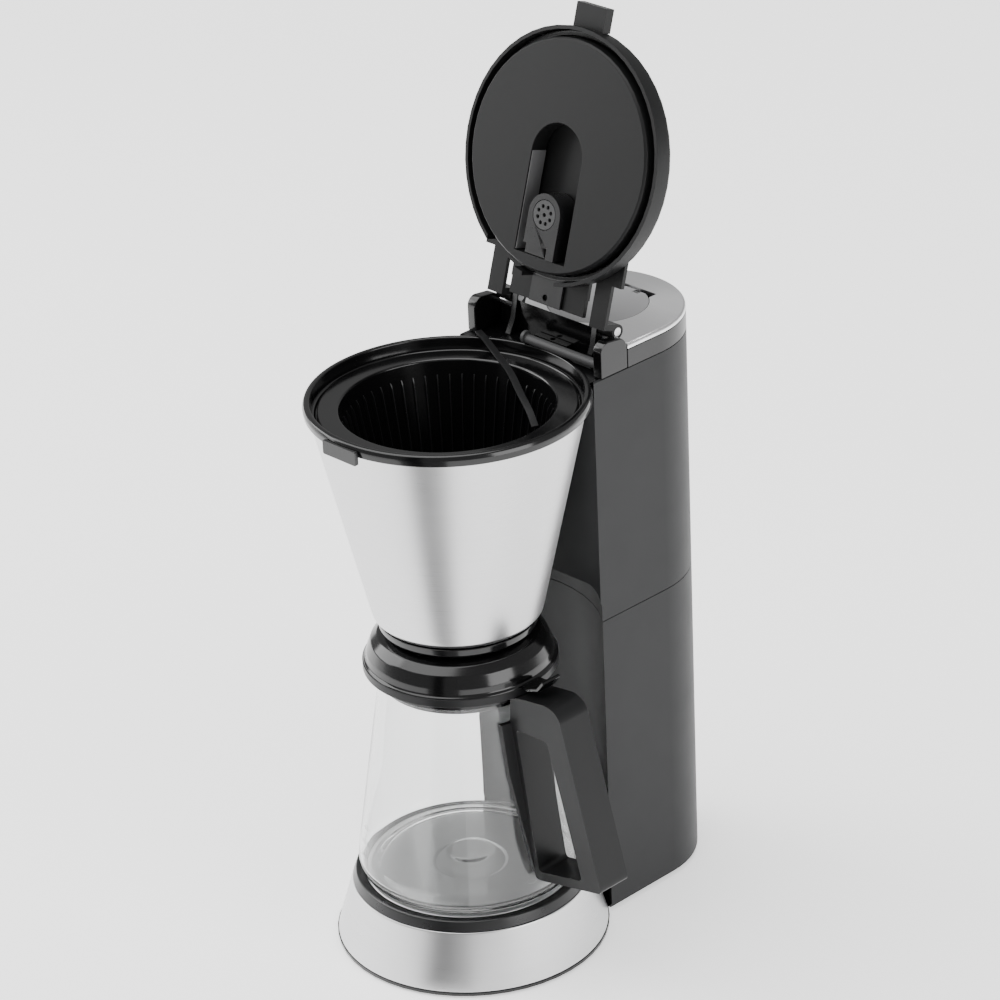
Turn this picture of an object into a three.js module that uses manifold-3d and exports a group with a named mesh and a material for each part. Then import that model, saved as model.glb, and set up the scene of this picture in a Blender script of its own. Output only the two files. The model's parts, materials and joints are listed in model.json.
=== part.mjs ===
// Drip coffee maker: round base with a warming plate, glass carafe, filter cone and a rear
// tower that holds the water tank. Millimetres, +Z up. Everything is laid out about the brew
// axis, the vertical line through base, carafe and cone, with the front of the machine at -Y.
import * as THREE from 'three';
import { mergeVertices } from 'three/addons/utils/BufferGeometryUtils.js';
import Module from 'manifold-3d';

const wasm = await Module();
wasm.setup();

// ---------------------------------------------------------------- driving dimensions
const GAP = 0.4;               // air left between pieces that sit against each other
const WALL = 2.2;              // moulded covers
const SHEET = 0.8;             // steel skins

const FOOT_H = 1.1;            // rubber pads under the machine
const FOOT_R = 6.5;
const BASE_R = 80;             // black bottom edge of the round base
const BASE_EDGE_H = 3.2;       // height of that edge above the table
const BASE_RING_TOP_R = 69.3;  // steel ring round the base, at its top
const BASE_RING_TOP_Z = 37;
const COLLAR_H = 6.5;          // black collar on top of the steel ring
const PLATE_R = 61.5;          // warming plate
const PLATE_T = 1.7;
const HEATER_R = 42;           // horseshoe heater under the plate
const TUBE_R = 4.4;

const GLASS_R = 65;            // carafe at its widest
const GLASS_H = 128;           // foot to the top of the neck
const NECK_R = 47;
const GLASS_T = 2;
const LID_EDGE_R = 55.5;       // carafe lid
const HANDLE_REACH = 117.5;    // brew axis to the far edge of the carafe handle
const HANDLE_W = 22;

const CONE_BOTTOM_Z = 208;     // lower edge of the steel cone
const CONE_BOTTOM_R = 49.8;
const RIM_R = 80.4;            // black rim on top of the cone
const RIM_Z = 343.9;
const RIM_H = 6.4;
const INSERT_R = 60.3;         // mouth of the filter insert

const TOWER_HALF_W = 52.8;
const NICHE_GAP = 2;           // base to the hollow in the front of the tower
const SPLIT_Z = 194;           // joint between lower and upper tower covers
const ARCH_Z = 216;            // top of the hollow
const ARCH_R = 11;
const BAND_H = 11;             // black band under the steel top
const COVER_T = 3;
const FLAP_R = 29;
const TANK_FLOOR_Z = 138;

const LID_R = 72.5;            // brew lid
const LID_SKIRT = 10.4;
const LID_OPEN = 107;          // degrees from closed to the open stop
const PIN_R = 2.5;

// ---------------------------------------------------------------- derived places
const RIM_LOW_Z = RIM_Z - RIM_H;
const DECK_Z = RIM_Z - GAP;
const COVER_FRONT_Y = RIM_R + 9.1;                  // front edge of the steel top
const TOWER_FRONT_Y = Math.min(Math.sqrt(RIM_R ** 2 - TOWER_HALF_W ** 2), RIM_R) + 0.9;
const FLAP_Y = COVER_FRONT_Y + FLAP_R + 2.1;
const TOWER_BACK_Y = FLAP_Y - 4.2;                  // centre of the round back
const NICHE_R = BASE_R + NICHE_GAP;
const BAND_TOP_Z = DECK_Z + GAP + BAND_H;
const COVER_TOP_Z = BAND_TOP_Z + GAP + COVER_T;
const HINGE_Y = RIM_R + 8.6;
const HINGE_Z = RIM_Z + 19.8;
const LID_Z = RIM_Z - 2.4;                          // lower edge of the closed lid's skirt
const LID_TOP_Z = LID_Z + LID_SKIRT + 2.6;
const COLLAR_Z = BASE_RING_TOP_Z + COLLAR_H;
const GLASS_Z = COLLAR_Z + GAP;
const NECK_Z = GLASS_Z + GLASS_H + 4;
const CARAFE_LID_Z = NECK_Z + 0.3;
const CARAFE_LID_H = 23;
const OUTLET_Z = CONE_BOTTOM_Z - 7.4;               // underside of the outlet ring
const STEM_Z = OUTLET_Z - 1;

// ---------------------------------------------------------------- shape helpers
const V2 = (x, y) => new THREE.Vector2(x, y);
const V3 = (x, y, z) => new THREE.Vector3(x, y, z);

function bare(geometry) {
  const g = geometry.index ? geometry.toNonIndexed() : geometry.clone();
  g.deleteAttribute('normal');
  g.deleteAttribute('uv');
  return mergeVertices(g, 1e-4);
}

function manifold(geometry) {
  const g = bare(geometry);
  const ids = [];
  for (let i = 0; i < g.index.count; i += 3) {
    const [a, b, c] = [0, 1, 2].map((k) => g.index.getX(i + k));
    if (a !== b && b !== c && a !== c) ids.push(a, b, c);
  }
  const vertProperties = new Float32Array(g.attributes.position.array);
  return new wasm.Manifold(new wasm.Mesh({ numProp: 3, vertProperties, triVerts: Uint32Array.from(ids) }));
}

function geometryOf(solid) {
  const m = solid.getMesh();
  const g = new THREE.BufferGeometry();
  g.setAttribute('position', new THREE.BufferAttribute(new Float32Array(m.vertProperties), 3));
  g.setIndex(new THREE.BufferAttribute(new Uint32Array(m.triVerts), 1));
  g.computeVertexNormals();
  return g;
}

const join = (...parts) => geometryOf(parts.map(manifold).reduce((a, b) => a.add(b)));
const cut = (body, ...tools) => geometryOf(tools.map(manifold).reduce((a, b) => a.subtract(b), manifold(body)));
const common = (a, b) => geometryOf(manifold(a).intersect(manifold(b)));

const SMOOTH = 48;             // sides of the large turned pieces

// A closed outline in (radius, height), turned about the vertical axis.
function lathe(outline, segments = 48, x = 0, y = 0) {
  const points = outline.map(([r, z]) => V2(r, z));
  if (THREE.ShapeUtils.area(points) < 0) points.reverse();
  const onAxis = points.findIndex((p, i) => p.x === 0 && points[(i + 1) % points.length].x === 0);
  const ring = onAxis < 0
    ? [...points, points[0]]
    : [...points.slice(onAxis + 1), ...points.slice(0, onAxis + 1)];
  return new THREE.LatheGeometry(ring, segments).rotateX(Math.PI / 2).translate(x, y, 0);
}

function prism(shape, z0, z1, curveSegments = 16) {
  const options = { depth: Math.abs(z1 - z0), bevelEnabled: false, curveSegments };
  return new THREE.ExtrudeGeometry(shape, options).translate(0, 0, Math.min(z0, z1));
}

// A prism whose outline is drawn in (y, z) and which runs along X.
function prismX(shape, x0, x1, curveSegments = 10) {
  return prism(shape, x0, x1, curveSegments).applyMatrix4(
    new THREE.Matrix4().makeBasis(V3(0, 1, 0), V3(0, 0, 1), V3(1, 0, 0)));
}

// A prism whose outline is drawn in (x, z) and which runs along Y.
function prismY(shape, y0, y1, curveSegments = 10) {
  return prism(shape, -y1, -y0, curveSegments).rotateX(Math.PI / 2);
}

const box = (x0, x1, y0, y1, z0, z1) => new THREE.BoxGeometry(Math.abs(x1 - x0), y1 - y0, z1 - z0)
  .translate((x0 + x1) / 2, (y0 + y1) / 2, (z0 + z1) / 2);

const rod = (r, z0, z1, x = 0, y = 0, segments = 20) => new THREE.CylinderGeometry(r, r, z1 - z0, segments)
  .rotateX(Math.PI / 2).translate(x, y, (z0 + z1) / 2);

const rodX = (r, x0, x1, y, z, segments = 18) => new THREE.CylinderGeometry(r, r, Math.abs(x1 - x0), segments)
  .rotateZ(Math.PI / 2).translate((x0 + x1) / 2, y, z);

function polygon(points) {
  return new THREE.Shape(points.map(([x, y]) => V2(x, y)));
}

function roundedRect(x0, x1, y0, y1, r) {
  const s = new THREE.Shape();
  s.absarc(x1 - r, y0 + r, r, -Math.PI / 2, 0);
  s.absarc(x1 - r, y1 - r, r, 0, Math.PI / 2);
  s.absarc(x0 + r, y1 - r, r, Math.PI / 2, Math.PI);
  s.absarc(x0 + r, y0 + r, r, Math.PI, Math.PI * 1.5);
  return s;
}

// Plan outline of the tower: straight sides and front, half-round back, moved inwards by inset.
function towerOutline(frontY, inset = 0) {
  const w = TOWER_HALF_W - inset;
  const s = new THREE.Shape();
  s.moveTo(-w, frontY + inset);
  s.lineTo(w, frontY + inset);
  s.absarc(0, TOWER_BACK_Y, w, 0, Math.PI);
  s.closePath();
  return s;
}

const tower = (frontY, inset, z0, z1) => prism(towerOutline(frontY, inset), z0, z1, 14);

// Round bar or hose through the given points.
function tube(points, r, steps, sides = 5) {
  const section = new THREE.Shape();
  section.absarc(0, 0, r, 0, Math.PI * 2);
  const extrudePath = new THREE.CatmullRomCurve3(points, false, 'centripetal');
  return new THREE.ExtrudeGeometry(section, { steps, curveSegments: sides, extrudePath });
}

// Flat strip of the given width and thickness through the given points.
function ribbon(points, width, thickness, steps) {
  const curve = new THREE.CatmullRomCurve3(points, false, 'centripetal');
  const corners = [];
  for (let i = 0; i <= steps; i += 1) {
    const at = curve.getPointAt(i / steps);
    const along = curve.getTangentAt(i / steps);
    const side = along.clone().cross(V3(0, 0, 1)).normalize().multiplyScalar(width / 2);
    const face = side.clone().cross(along).normalize().multiplyScalar(thickness / 2);
    [[-1, -1], [1, -1], [1, 1], [-1, 1]].forEach(([a, b]) => {
      corners.push(...at.clone().addScaledVector(side, a).addScaledVector(face, b).toArray());
    });
  }
  const index = [0, 1, 2, 0, 2, 3];
  for (let i = 0; i < steps; i += 1) {
    for (let k = 0; k < 4; k += 1) {
      const [a, b] = [4 * i + k, 4 * i + (k + 1) % 4];
      index.push(a, a + 4, b, b, a + 4, b + 4);
    }
  }
  const e = 4 * steps;
  index.push(e, e + 2, e + 1, e, e + 3, e + 2);
  const g = new THREE.BufferGeometry();
  g.setAttribute('position', new THREE.Float32BufferAttribute(corners, 3));
  g.setIndex(index);
  return g;
}

// ---------------------------------------------------------------- scene
const machine = new THREE.Group();
const finishes = {
  black: { color: 0x0b0b0c, roughness: 0.25, metalness: 0 },
  satin: { color: 0x39393b, roughness: 0.5, metalness: 0 },
  steel: { color: 0xc8c9cb, roughness: 0.3, metalness: 1 },
  polished: { color: 0xe6e7e8, roughness: 0.15, metalness: 1 },
  grey: { color: 0x9fa0a2, roughness: 0.45, metalness: 0 },
  rubber: { color: 0x18181a, roughness: 0.9, metalness: 0 },
  glass: { color: 0xf2f6f6, roughness: 0.02, metalness: 0 },
  clear: { color: 0xbfc6c8, roughness: 0.3, metalness: 0 },
  silicone: { color: 0xd9d6cf, roughness: 0.6, metalness: 0 },
  aluminium: { color: 0xa9abad, roughness: 0.45, metalness: 1 },
  board: { color: 0x2c5a3c, roughness: 0.6, metalness: 0 },
};

function add(name, geometry, finish, group = machine) {
  const material = new THREE.MeshStandardMaterial(finishes[finish]);
  const mesh = new THREE.Mesh(geometry, material);
  mesh.name = name;
  group.add(mesh);
  return mesh;
}

// A group that turns or slides about a pivot: its meshes keep machine coordinates.
function pivotGroup(x, y, z) {
  const pivot = new THREE.Group();
  pivot.position.set(x, y, z);
  const content = new THREE.Group();
  content.position.set(-x, -y, -z);
  pivot.add(content);
  machine.add(pivot);
  return content;
}

// ---------------------------------------------------------------- base
const FLOOR_Z = FOOT_H + 0.3;
const FOOT_INSET = 18;
const SCREW_R = 1.6;
const SCREW_HEAD_R = 3.2;
const HOSE_PORT_X = 30;          // opening for the hoses between base and tower
const HOSE_PORT_Z0 = 9;
const HOSE_PORT_Z1 = 33;
const HEATER_Z = COLLAR_Z - PLATE_T - GAP - TUBE_R - 0.5;
const HEATER_END = 62 * Math.PI / 180;
const footSpots = [[0, -BASE_R + FOOT_INSET], [-BASE_R + FOOT_INSET, 0], [BASE_R - FOOT_INSET, 0],
  [-TOWER_HALF_W + FOOT_INSET, TOWER_BACK_Y + 12], [TOWER_HALF_W - FOOT_INSET, TOWER_BACK_Y + 12]];
const screwSpots = [[0, TOWER_BACK_Y + 30], [-TOWER_HALF_W + 20, TOWER_BACK_Y - 14],
  [TOWER_HALF_W - 20, TOWER_BACK_Y - 14]];

function basePlate() {
  const disc = rod(BASE_R, FLOOR_Z, BASE_EDGE_H, 0, 0, SMOOTH);
  const bridge = box(-TOWER_HALF_W + 8, TOWER_HALF_W - 8, 0, NICHE_R + 6, FLOOR_Z, BASE_EDGE_H);
  const outline = tower(TOWER_FRONT_Y, WALL + GAP, FLOOR_Z, BASE_EDGE_H);
  const holes = screwSpots.map(([x, y]) => rod(SCREW_R + 0.25, 0, 20, x, y, 16));
  return cut(join(disc, bridge, outline), ...holes);
}

function foot([x, y]) {
  return lathe([[0, 0], [FOOT_R - 0.5, 0], [FOOT_R, 0.4], [FOOT_R, FOOT_H], [0, FOOT_H]], 12, x, y);
}

function baseScrew([x, y]) {
  const z = FLOOR_Z - 0.3;
  return lathe([[0, z - 0.7], [SCREW_HEAD_R - 0.5, z - 0.7], [SCREW_HEAD_R, z - 0.3], [SCREW_HEAD_R, z],
    [SCREW_R, z], [SCREW_R, 12], [0, 13]], 10, x, y);
}

function baseRing() {
  const z = BASE_EDGE_H + 0.3;
  const r = BASE_R - 0.6;
  const ring = lathe([[r, z], [BASE_RING_TOP_R, BASE_RING_TOP_Z], [BASE_RING_TOP_R - SHEET, BASE_RING_TOP_Z],
    [r - SHEET, z]], SMOOTH);
  return cut(ring, box(-HOSE_PORT_X, HOSE_PORT_X, 20, BASE_R + 5, HOSE_PORT_Z0, HOSE_PORT_Z1));
}

function plateCollar() {
  const top = BASE_RING_TOP_R;
  const inner = PLATE_R + GAP;
  const shelf = COLLAR_Z - PLATE_T - 0.8;
  return lathe([[top - 5, BASE_RING_TOP_Z - 3], [top - 1.6, BASE_RING_TOP_Z - 3],
    [top - 1.6, BASE_RING_TOP_Z + GAP], [top - 0.2, BASE_RING_TOP_Z + GAP],
    [top - 2.4, COLLAR_Z - 0.5], [top - 3.4, COLLAR_Z], [inner, COLLAR_Z - 0.5],
    [inner, shelf], [inner - 3.4, shelf], [inner - 3.4, shelf - 2], [inner + 1, shelf - 2]], SMOOTH);
}

function warmingPlate() {
  const z = COLLAR_Z - PLATE_T - GAP;
  return lathe([[0, z], [PLATE_R, z], [PLATE_R, z + PLATE_T - 0.3], [PLATE_R - 0.6, z + PLATE_T],
    [PLATE_R - 4, z + PLATE_T], [PLATE_R - 5, z + PLATE_T - 0.4], [0, z + PLATE_T - 0.4]], 36);
}

function heatingTube() {
  const points = [];
  const turns = 24;
  for (let i = 0; i <= turns; i += 1) {
    const a = Math.PI - HEATER_END + (i / turns) * (Math.PI + 2 * HEATER_END);
    points.push(V3(HEATER_R * Math.cos(a), HEATER_R * Math.sin(a), HEATER_Z));
  }
  return tube(points, TUBE_R, 28, 4);
}

add('base_plate', basePlate(), 'black');
footSpots.forEach((spot, i) => add(`foot_${i + 1}`, foot(spot), 'rubber'));
screwSpots.forEach((spot, i) => add(`base_screw_${i + 1}`, baseScrew(spot), 'steel'));
add('base_ring', baseRing(), 'steel');
add('plate_collar', plateCollar(), 'black');
add('warming_plate', warmingPlate(), 'aluminium');
add('heating_tube', heatingTube(), 'aluminium');
add('heater_clip', box(-HEATER_R - 8, HEATER_R + 8, -7, 7, HEATER_Z - TUBE_R - 1.8,
  HEATER_Z - TUBE_R - GAP), 'steel');
add('thermostat', lathe([[0, HEATER_Z - 4], [9, HEATER_Z - 4], [9, HEATER_Z + 1], [7.5, HEATER_Z + TUBE_R],
  [0, HEATER_Z + TUBE_R]], 24, 0, 18), 'clear');
add('thermal_fuse', rodX(2.2, -8, 8, -20, HEATER_Z + 1, 12), 'steel');

// ---------------------------------------------------------------- tower
const NICHE_WALL_R = NICHE_R + WALL;
const TANK_FRONT_Y = NICHE_WALL_R + 3;
const TANK_TOP_Z = RIM_LOW_Z - 16;
const TANK_INSET = WALL + 2.6;
const TANK_WALL = 1.8;
const TANK_OUTLET_Y = TANK_FRONT_Y + 14;
const TANK_OUTLET_X = 20;
const SWITCH_Y = TOWER_BACK_Y - 10;
const SWITCH_Z = 46;
const SWITCH_W = 15.6;
const SWITCH_H = 22;
const GLAND_R = 6;
const GLAND_Z = 18;
const CONE_TOP_Z = RIM_LOW_Z - 1.1;
const CONE_TOP_R = RIM_R - 3.2;
const CONE_CLEAR = 0.9;

// The hollow in the tower's front: a cylinder about the brew axis under a round-cornered arch.
function niche(extra) {
  const w = TOWER_HALF_W;
  const top = ARCH_Z + extra;
  const arch = new THREE.Shape();
  arch.moveTo(-w - 3, -5);
  arch.lineTo(w + 3, -5);
  arch.lineTo(w + 3, top - ARCH_R);
  arch.absarc(w - ARCH_R, top - ARCH_R, ARCH_R, 0, Math.PI / 2);
  arch.absarc(-w + ARCH_R, top - ARCH_R, ARCH_R, Math.PI / 2, Math.PI);
  arch.lineTo(-w - 3, top - ARCH_R);
  arch.closePath();
  return common(rod(NICHE_R + extra, -5, ARCH_Z + 40, 0, 0, SMOOTH), prismY(arch, 0, NICHE_R + 20));
}

// Room for the cone, and for the rim above it, grown by a clearance.
function coneRoom(clear, rimClear) {
  const low = OUTLET_Z - 20;
  const shelf = CONE_TOP_Z - 2;
  return lathe([[0, low], [CONE_BOTTOM_R + clear, low], [CONE_BOTTOM_R + clear, CONE_BOTTOM_Z + 6],
    [CONE_TOP_R + clear, shelf], [RIM_R + rimClear, shelf + 0.1], [RIM_R + rimClear, RIM_Z + 40],
    [0, RIM_Z + 40]], SMOOTH);
}

function lowerTower() {
  const z = BASE_EDGE_H + 0.3;
  const shell = cut(tower(TOWER_FRONT_Y, 0, z, SPLIT_Z - GAP / 2), niche(0));
  const inside = cut(tower(TOWER_FRONT_Y, WALL, z - 1, SPLIT_Z + 1), niche(WALL));
  const port = box(-HOSE_PORT_X, HOSE_PORT_X, 20, NICHE_R + 12, HOSE_PORT_Z0, HOSE_PORT_Z1);
  const switchHole = box(-TOWER_HALF_W - 2, -TOWER_HALF_W + WALL + 2, SWITCH_Y - SWITCH_W / 2,
    SWITCH_Y + SWITCH_W / 2, SWITCH_Z - SWITCH_H / 2, SWITCH_Z + SWITCH_H / 2);
  const glandHole = rod(GLAND_R + GAP, -8, 8).rotateX(Math.PI / 2)
    .translate(0, TOWER_BACK_Y + TOWER_HALF_W, GLAND_Z);
  return cut(shell, inside, port, switchHole, glandHole);
}

function upperTower() {
  const z = SPLIT_Z + GAP / 2;
  const shell = cut(tower(TOWER_FRONT_Y, 0, z, DECK_Z), niche(0), coneRoom(CONE_CLEAR, CONE_CLEAR));
  const inside = cut(tower(TOWER_FRONT_Y, WALL, z - 1, DECK_Z + 1), niche(WALL),
    coneRoom(CONE_CLEAR + WALL, 0));
  return cut(shell, inside);
}

function tankBlock(inset, z0, z1) {
  const w = TOWER_HALF_W - TANK_INSET - inset;
  const s = new THREE.Shape();
  s.moveTo(-w, TANK_FRONT_Y + inset);
  s.lineTo(w, TANK_FRONT_Y + inset);
  s.absarc(0, TOWER_BACK_Y, w, 0, Math.PI);
  s.closePath();
  return prism(s, z0, z1, 10);
}

const waterTank = () => cut(tankBlock(0, TANK_FLOOR_Z, TANK_TOP_Z),
  tankBlock(TANK_WALL, TANK_FLOOR_Z + 2, TANK_TOP_Z + 1),
  rod(3.4, TANK_FLOOR_Z - 2, TANK_FLOOR_Z + 4, TANK_OUTLET_X, TANK_OUTLET_Y, 16));

const VALVE_H = 24;
function checkValve() {
  const z = TANK_FLOOR_Z;
  return lathe([[0, z - VALVE_H], [5.4, z - VALVE_H], [5.4, z - 10], [7.5, z - 9], [7.5, z - GAP], [3, z - GAP],
    [3, z + 1.6], [0, z + 1.6]], 20, TANK_OUTLET_X, TANK_OUTLET_Y);
}

// Hoses leave the heater's two ends, pass the port in ring and tower, and rise inside the tower.
const HOSE_R = 4.6;
const RISER_R = 3;
const RISER_X = -TOWER_HALF_W + 12.8;
const RISER_Y = TANK_FRONT_Y - 6.7;
const NOZZLE_Y = RIM_R + 4;

function hose(side, top) {
  const x = side * HEATER_R * Math.cos(HEATER_END);
  const y = HEATER_R * Math.sin(HEATER_END);
  const back = NICHE_WALL_R + 11;
  return tube([V3(x - side * 5.2, y + 3, HEATER_Z), V3(side * 14.6, y + 9, HEATER_Z - 2),
    V3(side * 13, y + 24, HEATER_Z - 9), V3(side * 13, back - 16, HEATER_Z - 13),
    V3(side * 17, back, HEATER_Z - 6), V3((top.x + side * 17) / 2, (top.y + back) / 2 + 2, HEATER_Z + 16),
    V3(top.x, top.y, HEATER_Z + 44), V3(top.x, top.y, top.z)], HOSE_R, 20, 4);
}

function riserPipe() {
  const z = TANK_TOP_Z;
  return tube([V3(RISER_X, RISER_Y, TANK_FLOOR_Z - 7), V3(RISER_X, RISER_Y, z - 14),
    V3(RISER_X + 2, RISER_Y + 1, z - 1), V3(RISER_X + 12, (RISER_Y + NOZZLE_Y) / 2, z + 6),
    V3(-8, NOZZLE_Y, z + 7), V3(-1, NOZZLE_Y, z + 11), V3(0, NOZZLE_Y, DECK_Z - 0.2)], RISER_R, 20, 4);
}

add('tower_lower', lowerTower(), 'satin');
add('tower_upper', upperTower(), 'satin');
add('water_tank', waterTank(), 'clear');
add('check_valve', checkValve(), 'silicone');
add('inlet_hose', hose(1, V3(TANK_OUTLET_X, TANK_OUTLET_Y, TANK_FLOOR_Z - VALVE_H - GAP)), 'silicone');
add('riser_hose', hose(-1, V3(RISER_X, RISER_Y, TANK_FLOOR_Z - 8)), 'silicone');
add('riser_pipe', riserPipe(), 'clear');
add('timer_board', box(8, 11, TANK_FRONT_Y + 34, TANK_FRONT_Y + 68, 40, 92), 'board');

const glandShape = [[GLAND_R - 2.6, -3.4], [GLAND_R, -3.4], [GLAND_R, 3.4], [GLAND_R + 2, 3.6], [GLAND_R + 2, 5],
  [GLAND_R - 2.6, 5]];
add('cord_gland', lathe(glandShape, 16).rotateX(Math.PI / 2)
  .translate(0, TOWER_BACK_Y + TOWER_HALF_W - 5.6, GLAND_Z), 'rubber');

// ---------------------------------------------------------------- top of the tower
const RING_HOLE_R = FLAP_R + GAP;
const FLAP_PIN_Y = FLAP_Y + FLAP_R - 2.8;
const FLAP_PIN_Z = COVER_TOP_Z - 2.4;
const FLAP_EAR = 3.4;
const KNUCKLE_R = 2.3;
const NOTCH_HALF_W = FLAP_R - 9;
const FLAP_LUG = 4.5;

function topBand() {
  return cut(tower(COVER_FRONT_Y, 0, DECK_Z + GAP, BAND_TOP_Z),
    tower(COVER_FRONT_Y, WALL, DECK_Z - 1, BAND_TOP_Z + 1));
}

// Steel top: rounded upper edge, a round filling hole, and a notch behind it that the flap's rear edge swings into.
function topCover() {
  const round = 1.5;
  const s = towerOutline(COVER_FRONT_Y, round);
  const z0 = BAND_TOP_Z + GAP;
  const plate = new THREE.ExtrudeGeometry(s, { depth: 2 * COVER_T, bevelEnabled: true, bevelThickness: round,
    bevelSize: round, bevelSegments: 2, curveSegments: 14 }).translate(0, 0, COVER_TOP_Z - round - 2 * COVER_T);
  return cut(common(plate, box(-200, 200, -200, 400, z0, COVER_TOP_Z + 1)),
    rod(RING_HOLE_R, z0 - 1, COVER_TOP_Z + 1, 0, FLAP_Y, 36),
    box(-NOTCH_HALF_W, NOTCH_HALF_W, FLAP_Y, FLAP_PIN_Y + 3.2, z0 - 1, COVER_TOP_Z + 1));
}

// Funnel under the filling hole, with two ears at the back for the flap's pin.
function fillNeck() {
  const top = BAND_TOP_Z - GAP;
  const r = RING_HOLE_R;
  const ring = lathe([[r - 3.5, TANK_TOP_Z + 5], [r - 1.5, TANK_TOP_Z + 5], [r - 1.5, top - 3], [r + 4, top - 2],
    [r + 4, top], [r - 2, top], [r - 3.5, top - 1.5]], 32, 0, FLAP_Y);
  const slot = box(-FLAP_LUG - 0.5, FLAP_LUG + 0.5, FLAP_Y + r - 8, FLAP_PIN_Y + 4, top - 6.5, top + 1);
  const ears = [1, -1].flatMap((side) => {
    const [x0, x1] = [side * (FLAP_LUG + 0.5), side * (FLAP_LUG + 0.5 + FLAP_EAR)];
    return [rodX(KNUCKLE_R, x0, x1, FLAP_PIN_Y, FLAP_PIN_Z, 20),
      box(x0, x1, FLAP_PIN_Y - KNUCKLE_R, FLAP_PIN_Y + KNUCKLE_R, top - 3, FLAP_PIN_Z)];
  });
  const inBand = common(ring, tower(COVER_FRONT_Y, WALL + GAP, 0, top));
  return cut(join(cut(inBand, slot), ...ears), rodX(1.3, -30, 30, FLAP_PIN_Y, FLAP_PIN_Z, 12));
}

// Flap: a disc with a straight rear edge at its pin, cut back round the ears.
function fillFlap() {
  const z1 = COVER_TOP_Z;
  const disc = lathe([[0, z1 - 2.4], [FLAP_R - 0.6, z1 - 2.4], [FLAP_R, z1 - 1.8], [FLAP_R, z1 - 0.5],
    [FLAP_R - 0.5, z1], [0, z1]], 36, 0, FLAP_Y);
  const earRoom = [1, -1].map((side) => box(side * FLAP_LUG, side * (FLAP_LUG + FLAP_EAR + 1),
    FLAP_PIN_Y - KNUCKLE_R - 0.6, FLAP_PIN_Y + 20, 0, 500));
  const plate = cut(disc, box(-40, 40, FLAP_PIN_Y, FLAP_PIN_Y + 20, 0, 500), ...earRoom);
  return cut(join(plate, rodX(KNUCKLE_R, -FLAP_LUG, FLAP_LUG, FLAP_PIN_Y, FLAP_PIN_Z, 20)),
    rodX(1.35, -FLAP_LUG - 1, FLAP_LUG + 1, FLAP_PIN_Y, FLAP_PIN_Z, 16));
}

add('top_band', topBand(), 'black');
add('top_cover', topCover(), 'polished');
add('fill_neck', fillNeck(), 'black');
add('flap_pin', rodX(1, -FLAP_LUG - 3.5, FLAP_LUG + 3.5, FLAP_PIN_Y, FLAP_PIN_Z, 16), 'steel');
const flap = pivotGroup(0, FLAP_PIN_Y, FLAP_PIN_Z);
add('fill_flap', fillFlap(), 'grey', flap);

// ---------------------------------------------------------------- cone, bowl and filter insert
const LEDGE_Z = RIM_Z - 8.4;                        // where the insert's flange lies
const LEDGE_R = RIM_R - 5.6;
const BOWL_TOP_R = LEDGE_R - 5.4;
const BOWL_BOTTOM_R = CONE_BOTTOM_R - 5.6;
const FLOOR_TOP_Z = CONE_BOTTOM_Z + 3.4;
const OUTLET_R = 12;
const DECK_T = 2.5;

function bowl() {
  const turned = lathe([[CONE_TOP_R + 0.2, RIM_LOW_Z - 0.5], [RIM_R - 0.4, RIM_LOW_Z], [RIM_R, RIM_LOW_Z + 3.5],
    [RIM_R - 0.9, RIM_Z - 0.5], [RIM_R - 2.4, RIM_Z], [RIM_R - 4.2, RIM_Z - 0.2],
    [LEDGE_R, LEDGE_Z], [BOWL_TOP_R + 0.6, LEDGE_Z - 0.4], [BOWL_TOP_R, LEDGE_Z - 2],
    [BOWL_BOTTOM_R, FLOOR_TOP_Z + 1.8], [BOWL_BOTTOM_R - 1.4, FLOOR_TOP_Z], [OUTLET_R, FLOOR_TOP_Z],
    [OUTLET_R, FLOOR_TOP_Z - 1.8], [BOWL_BOTTOM_R - 0.8, FLOOR_TOP_Z - 1.8], [BOWL_BOTTOM_R + 2, FLOOR_TOP_Z + 0.8],
    [BOWL_TOP_R + 2.2, LEDGE_Z - 2], [CONE_TOP_R - 3, RIM_LOW_Z - 0.6]], SMOOTH);
  const deck = cut(tower(TOWER_FRONT_Y, WALL + GAP, DECK_Z - DECK_T, DECK_Z),
    rod(RIM_R - 3, DECK_Z - 20, DECK_Z + 20, 0, 0, SMOOTH),
    rod(RING_HOLE_R - 0.8, DECK_Z - 20, DECK_Z + 20, 0, FLAP_Y, 32),
    rod(RISER_R + 1, DECK_Z - 20, DECK_Z + 20, 0, NOZZLE_Y, 20));
  return join(turned, deck);
}

const LIP = 0.8;
function coneShell() {
  const z = CONE_BOTTOM_Z;
  const r = CONE_BOTTOM_R;
  return lathe([[CONE_TOP_R, CONE_TOP_Z], [r, z + 8], [r - 1.2, z + 3.5], [r - 3.6, z + 0.9], [r - 5.8, z],
    [r - 5.8, z + LIP], [r - 3.9, z + LIP + 0.9], [r - 1.9, z + 3.9], [r - SHEET, z + 8.2],
    [CONE_TOP_R - SHEET, CONE_TOP_Z]], SMOOTH);
}

function outletRing() {
  const r = CONE_BOTTOM_R - 3.8;
  const z = OUTLET_Z;
  return lathe([[11.5, z + 2.4], [r - 10, z + 2], [r - 6.5, z], [r - 3.4, z + 0.4], [r - 0.6, z + 2.8],
    [r, CONE_BOTTOM_Z - GAP], [r - 3, CONE_BOTTOM_Z - GAP], [r - 4, z + 4], [11.5, z + 4.4]], 36);
}

const FLANGE_R = LEDGE_R - 2.4;
const INSERT_BOTTOM_R = BOWL_BOTTOM_R - 7.6;
const INSERT_FLOOR_Z = FLOOR_TOP_Z + 2.8;           // upper face of the insert's floor
const SEAT_R = 5.6;

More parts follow.
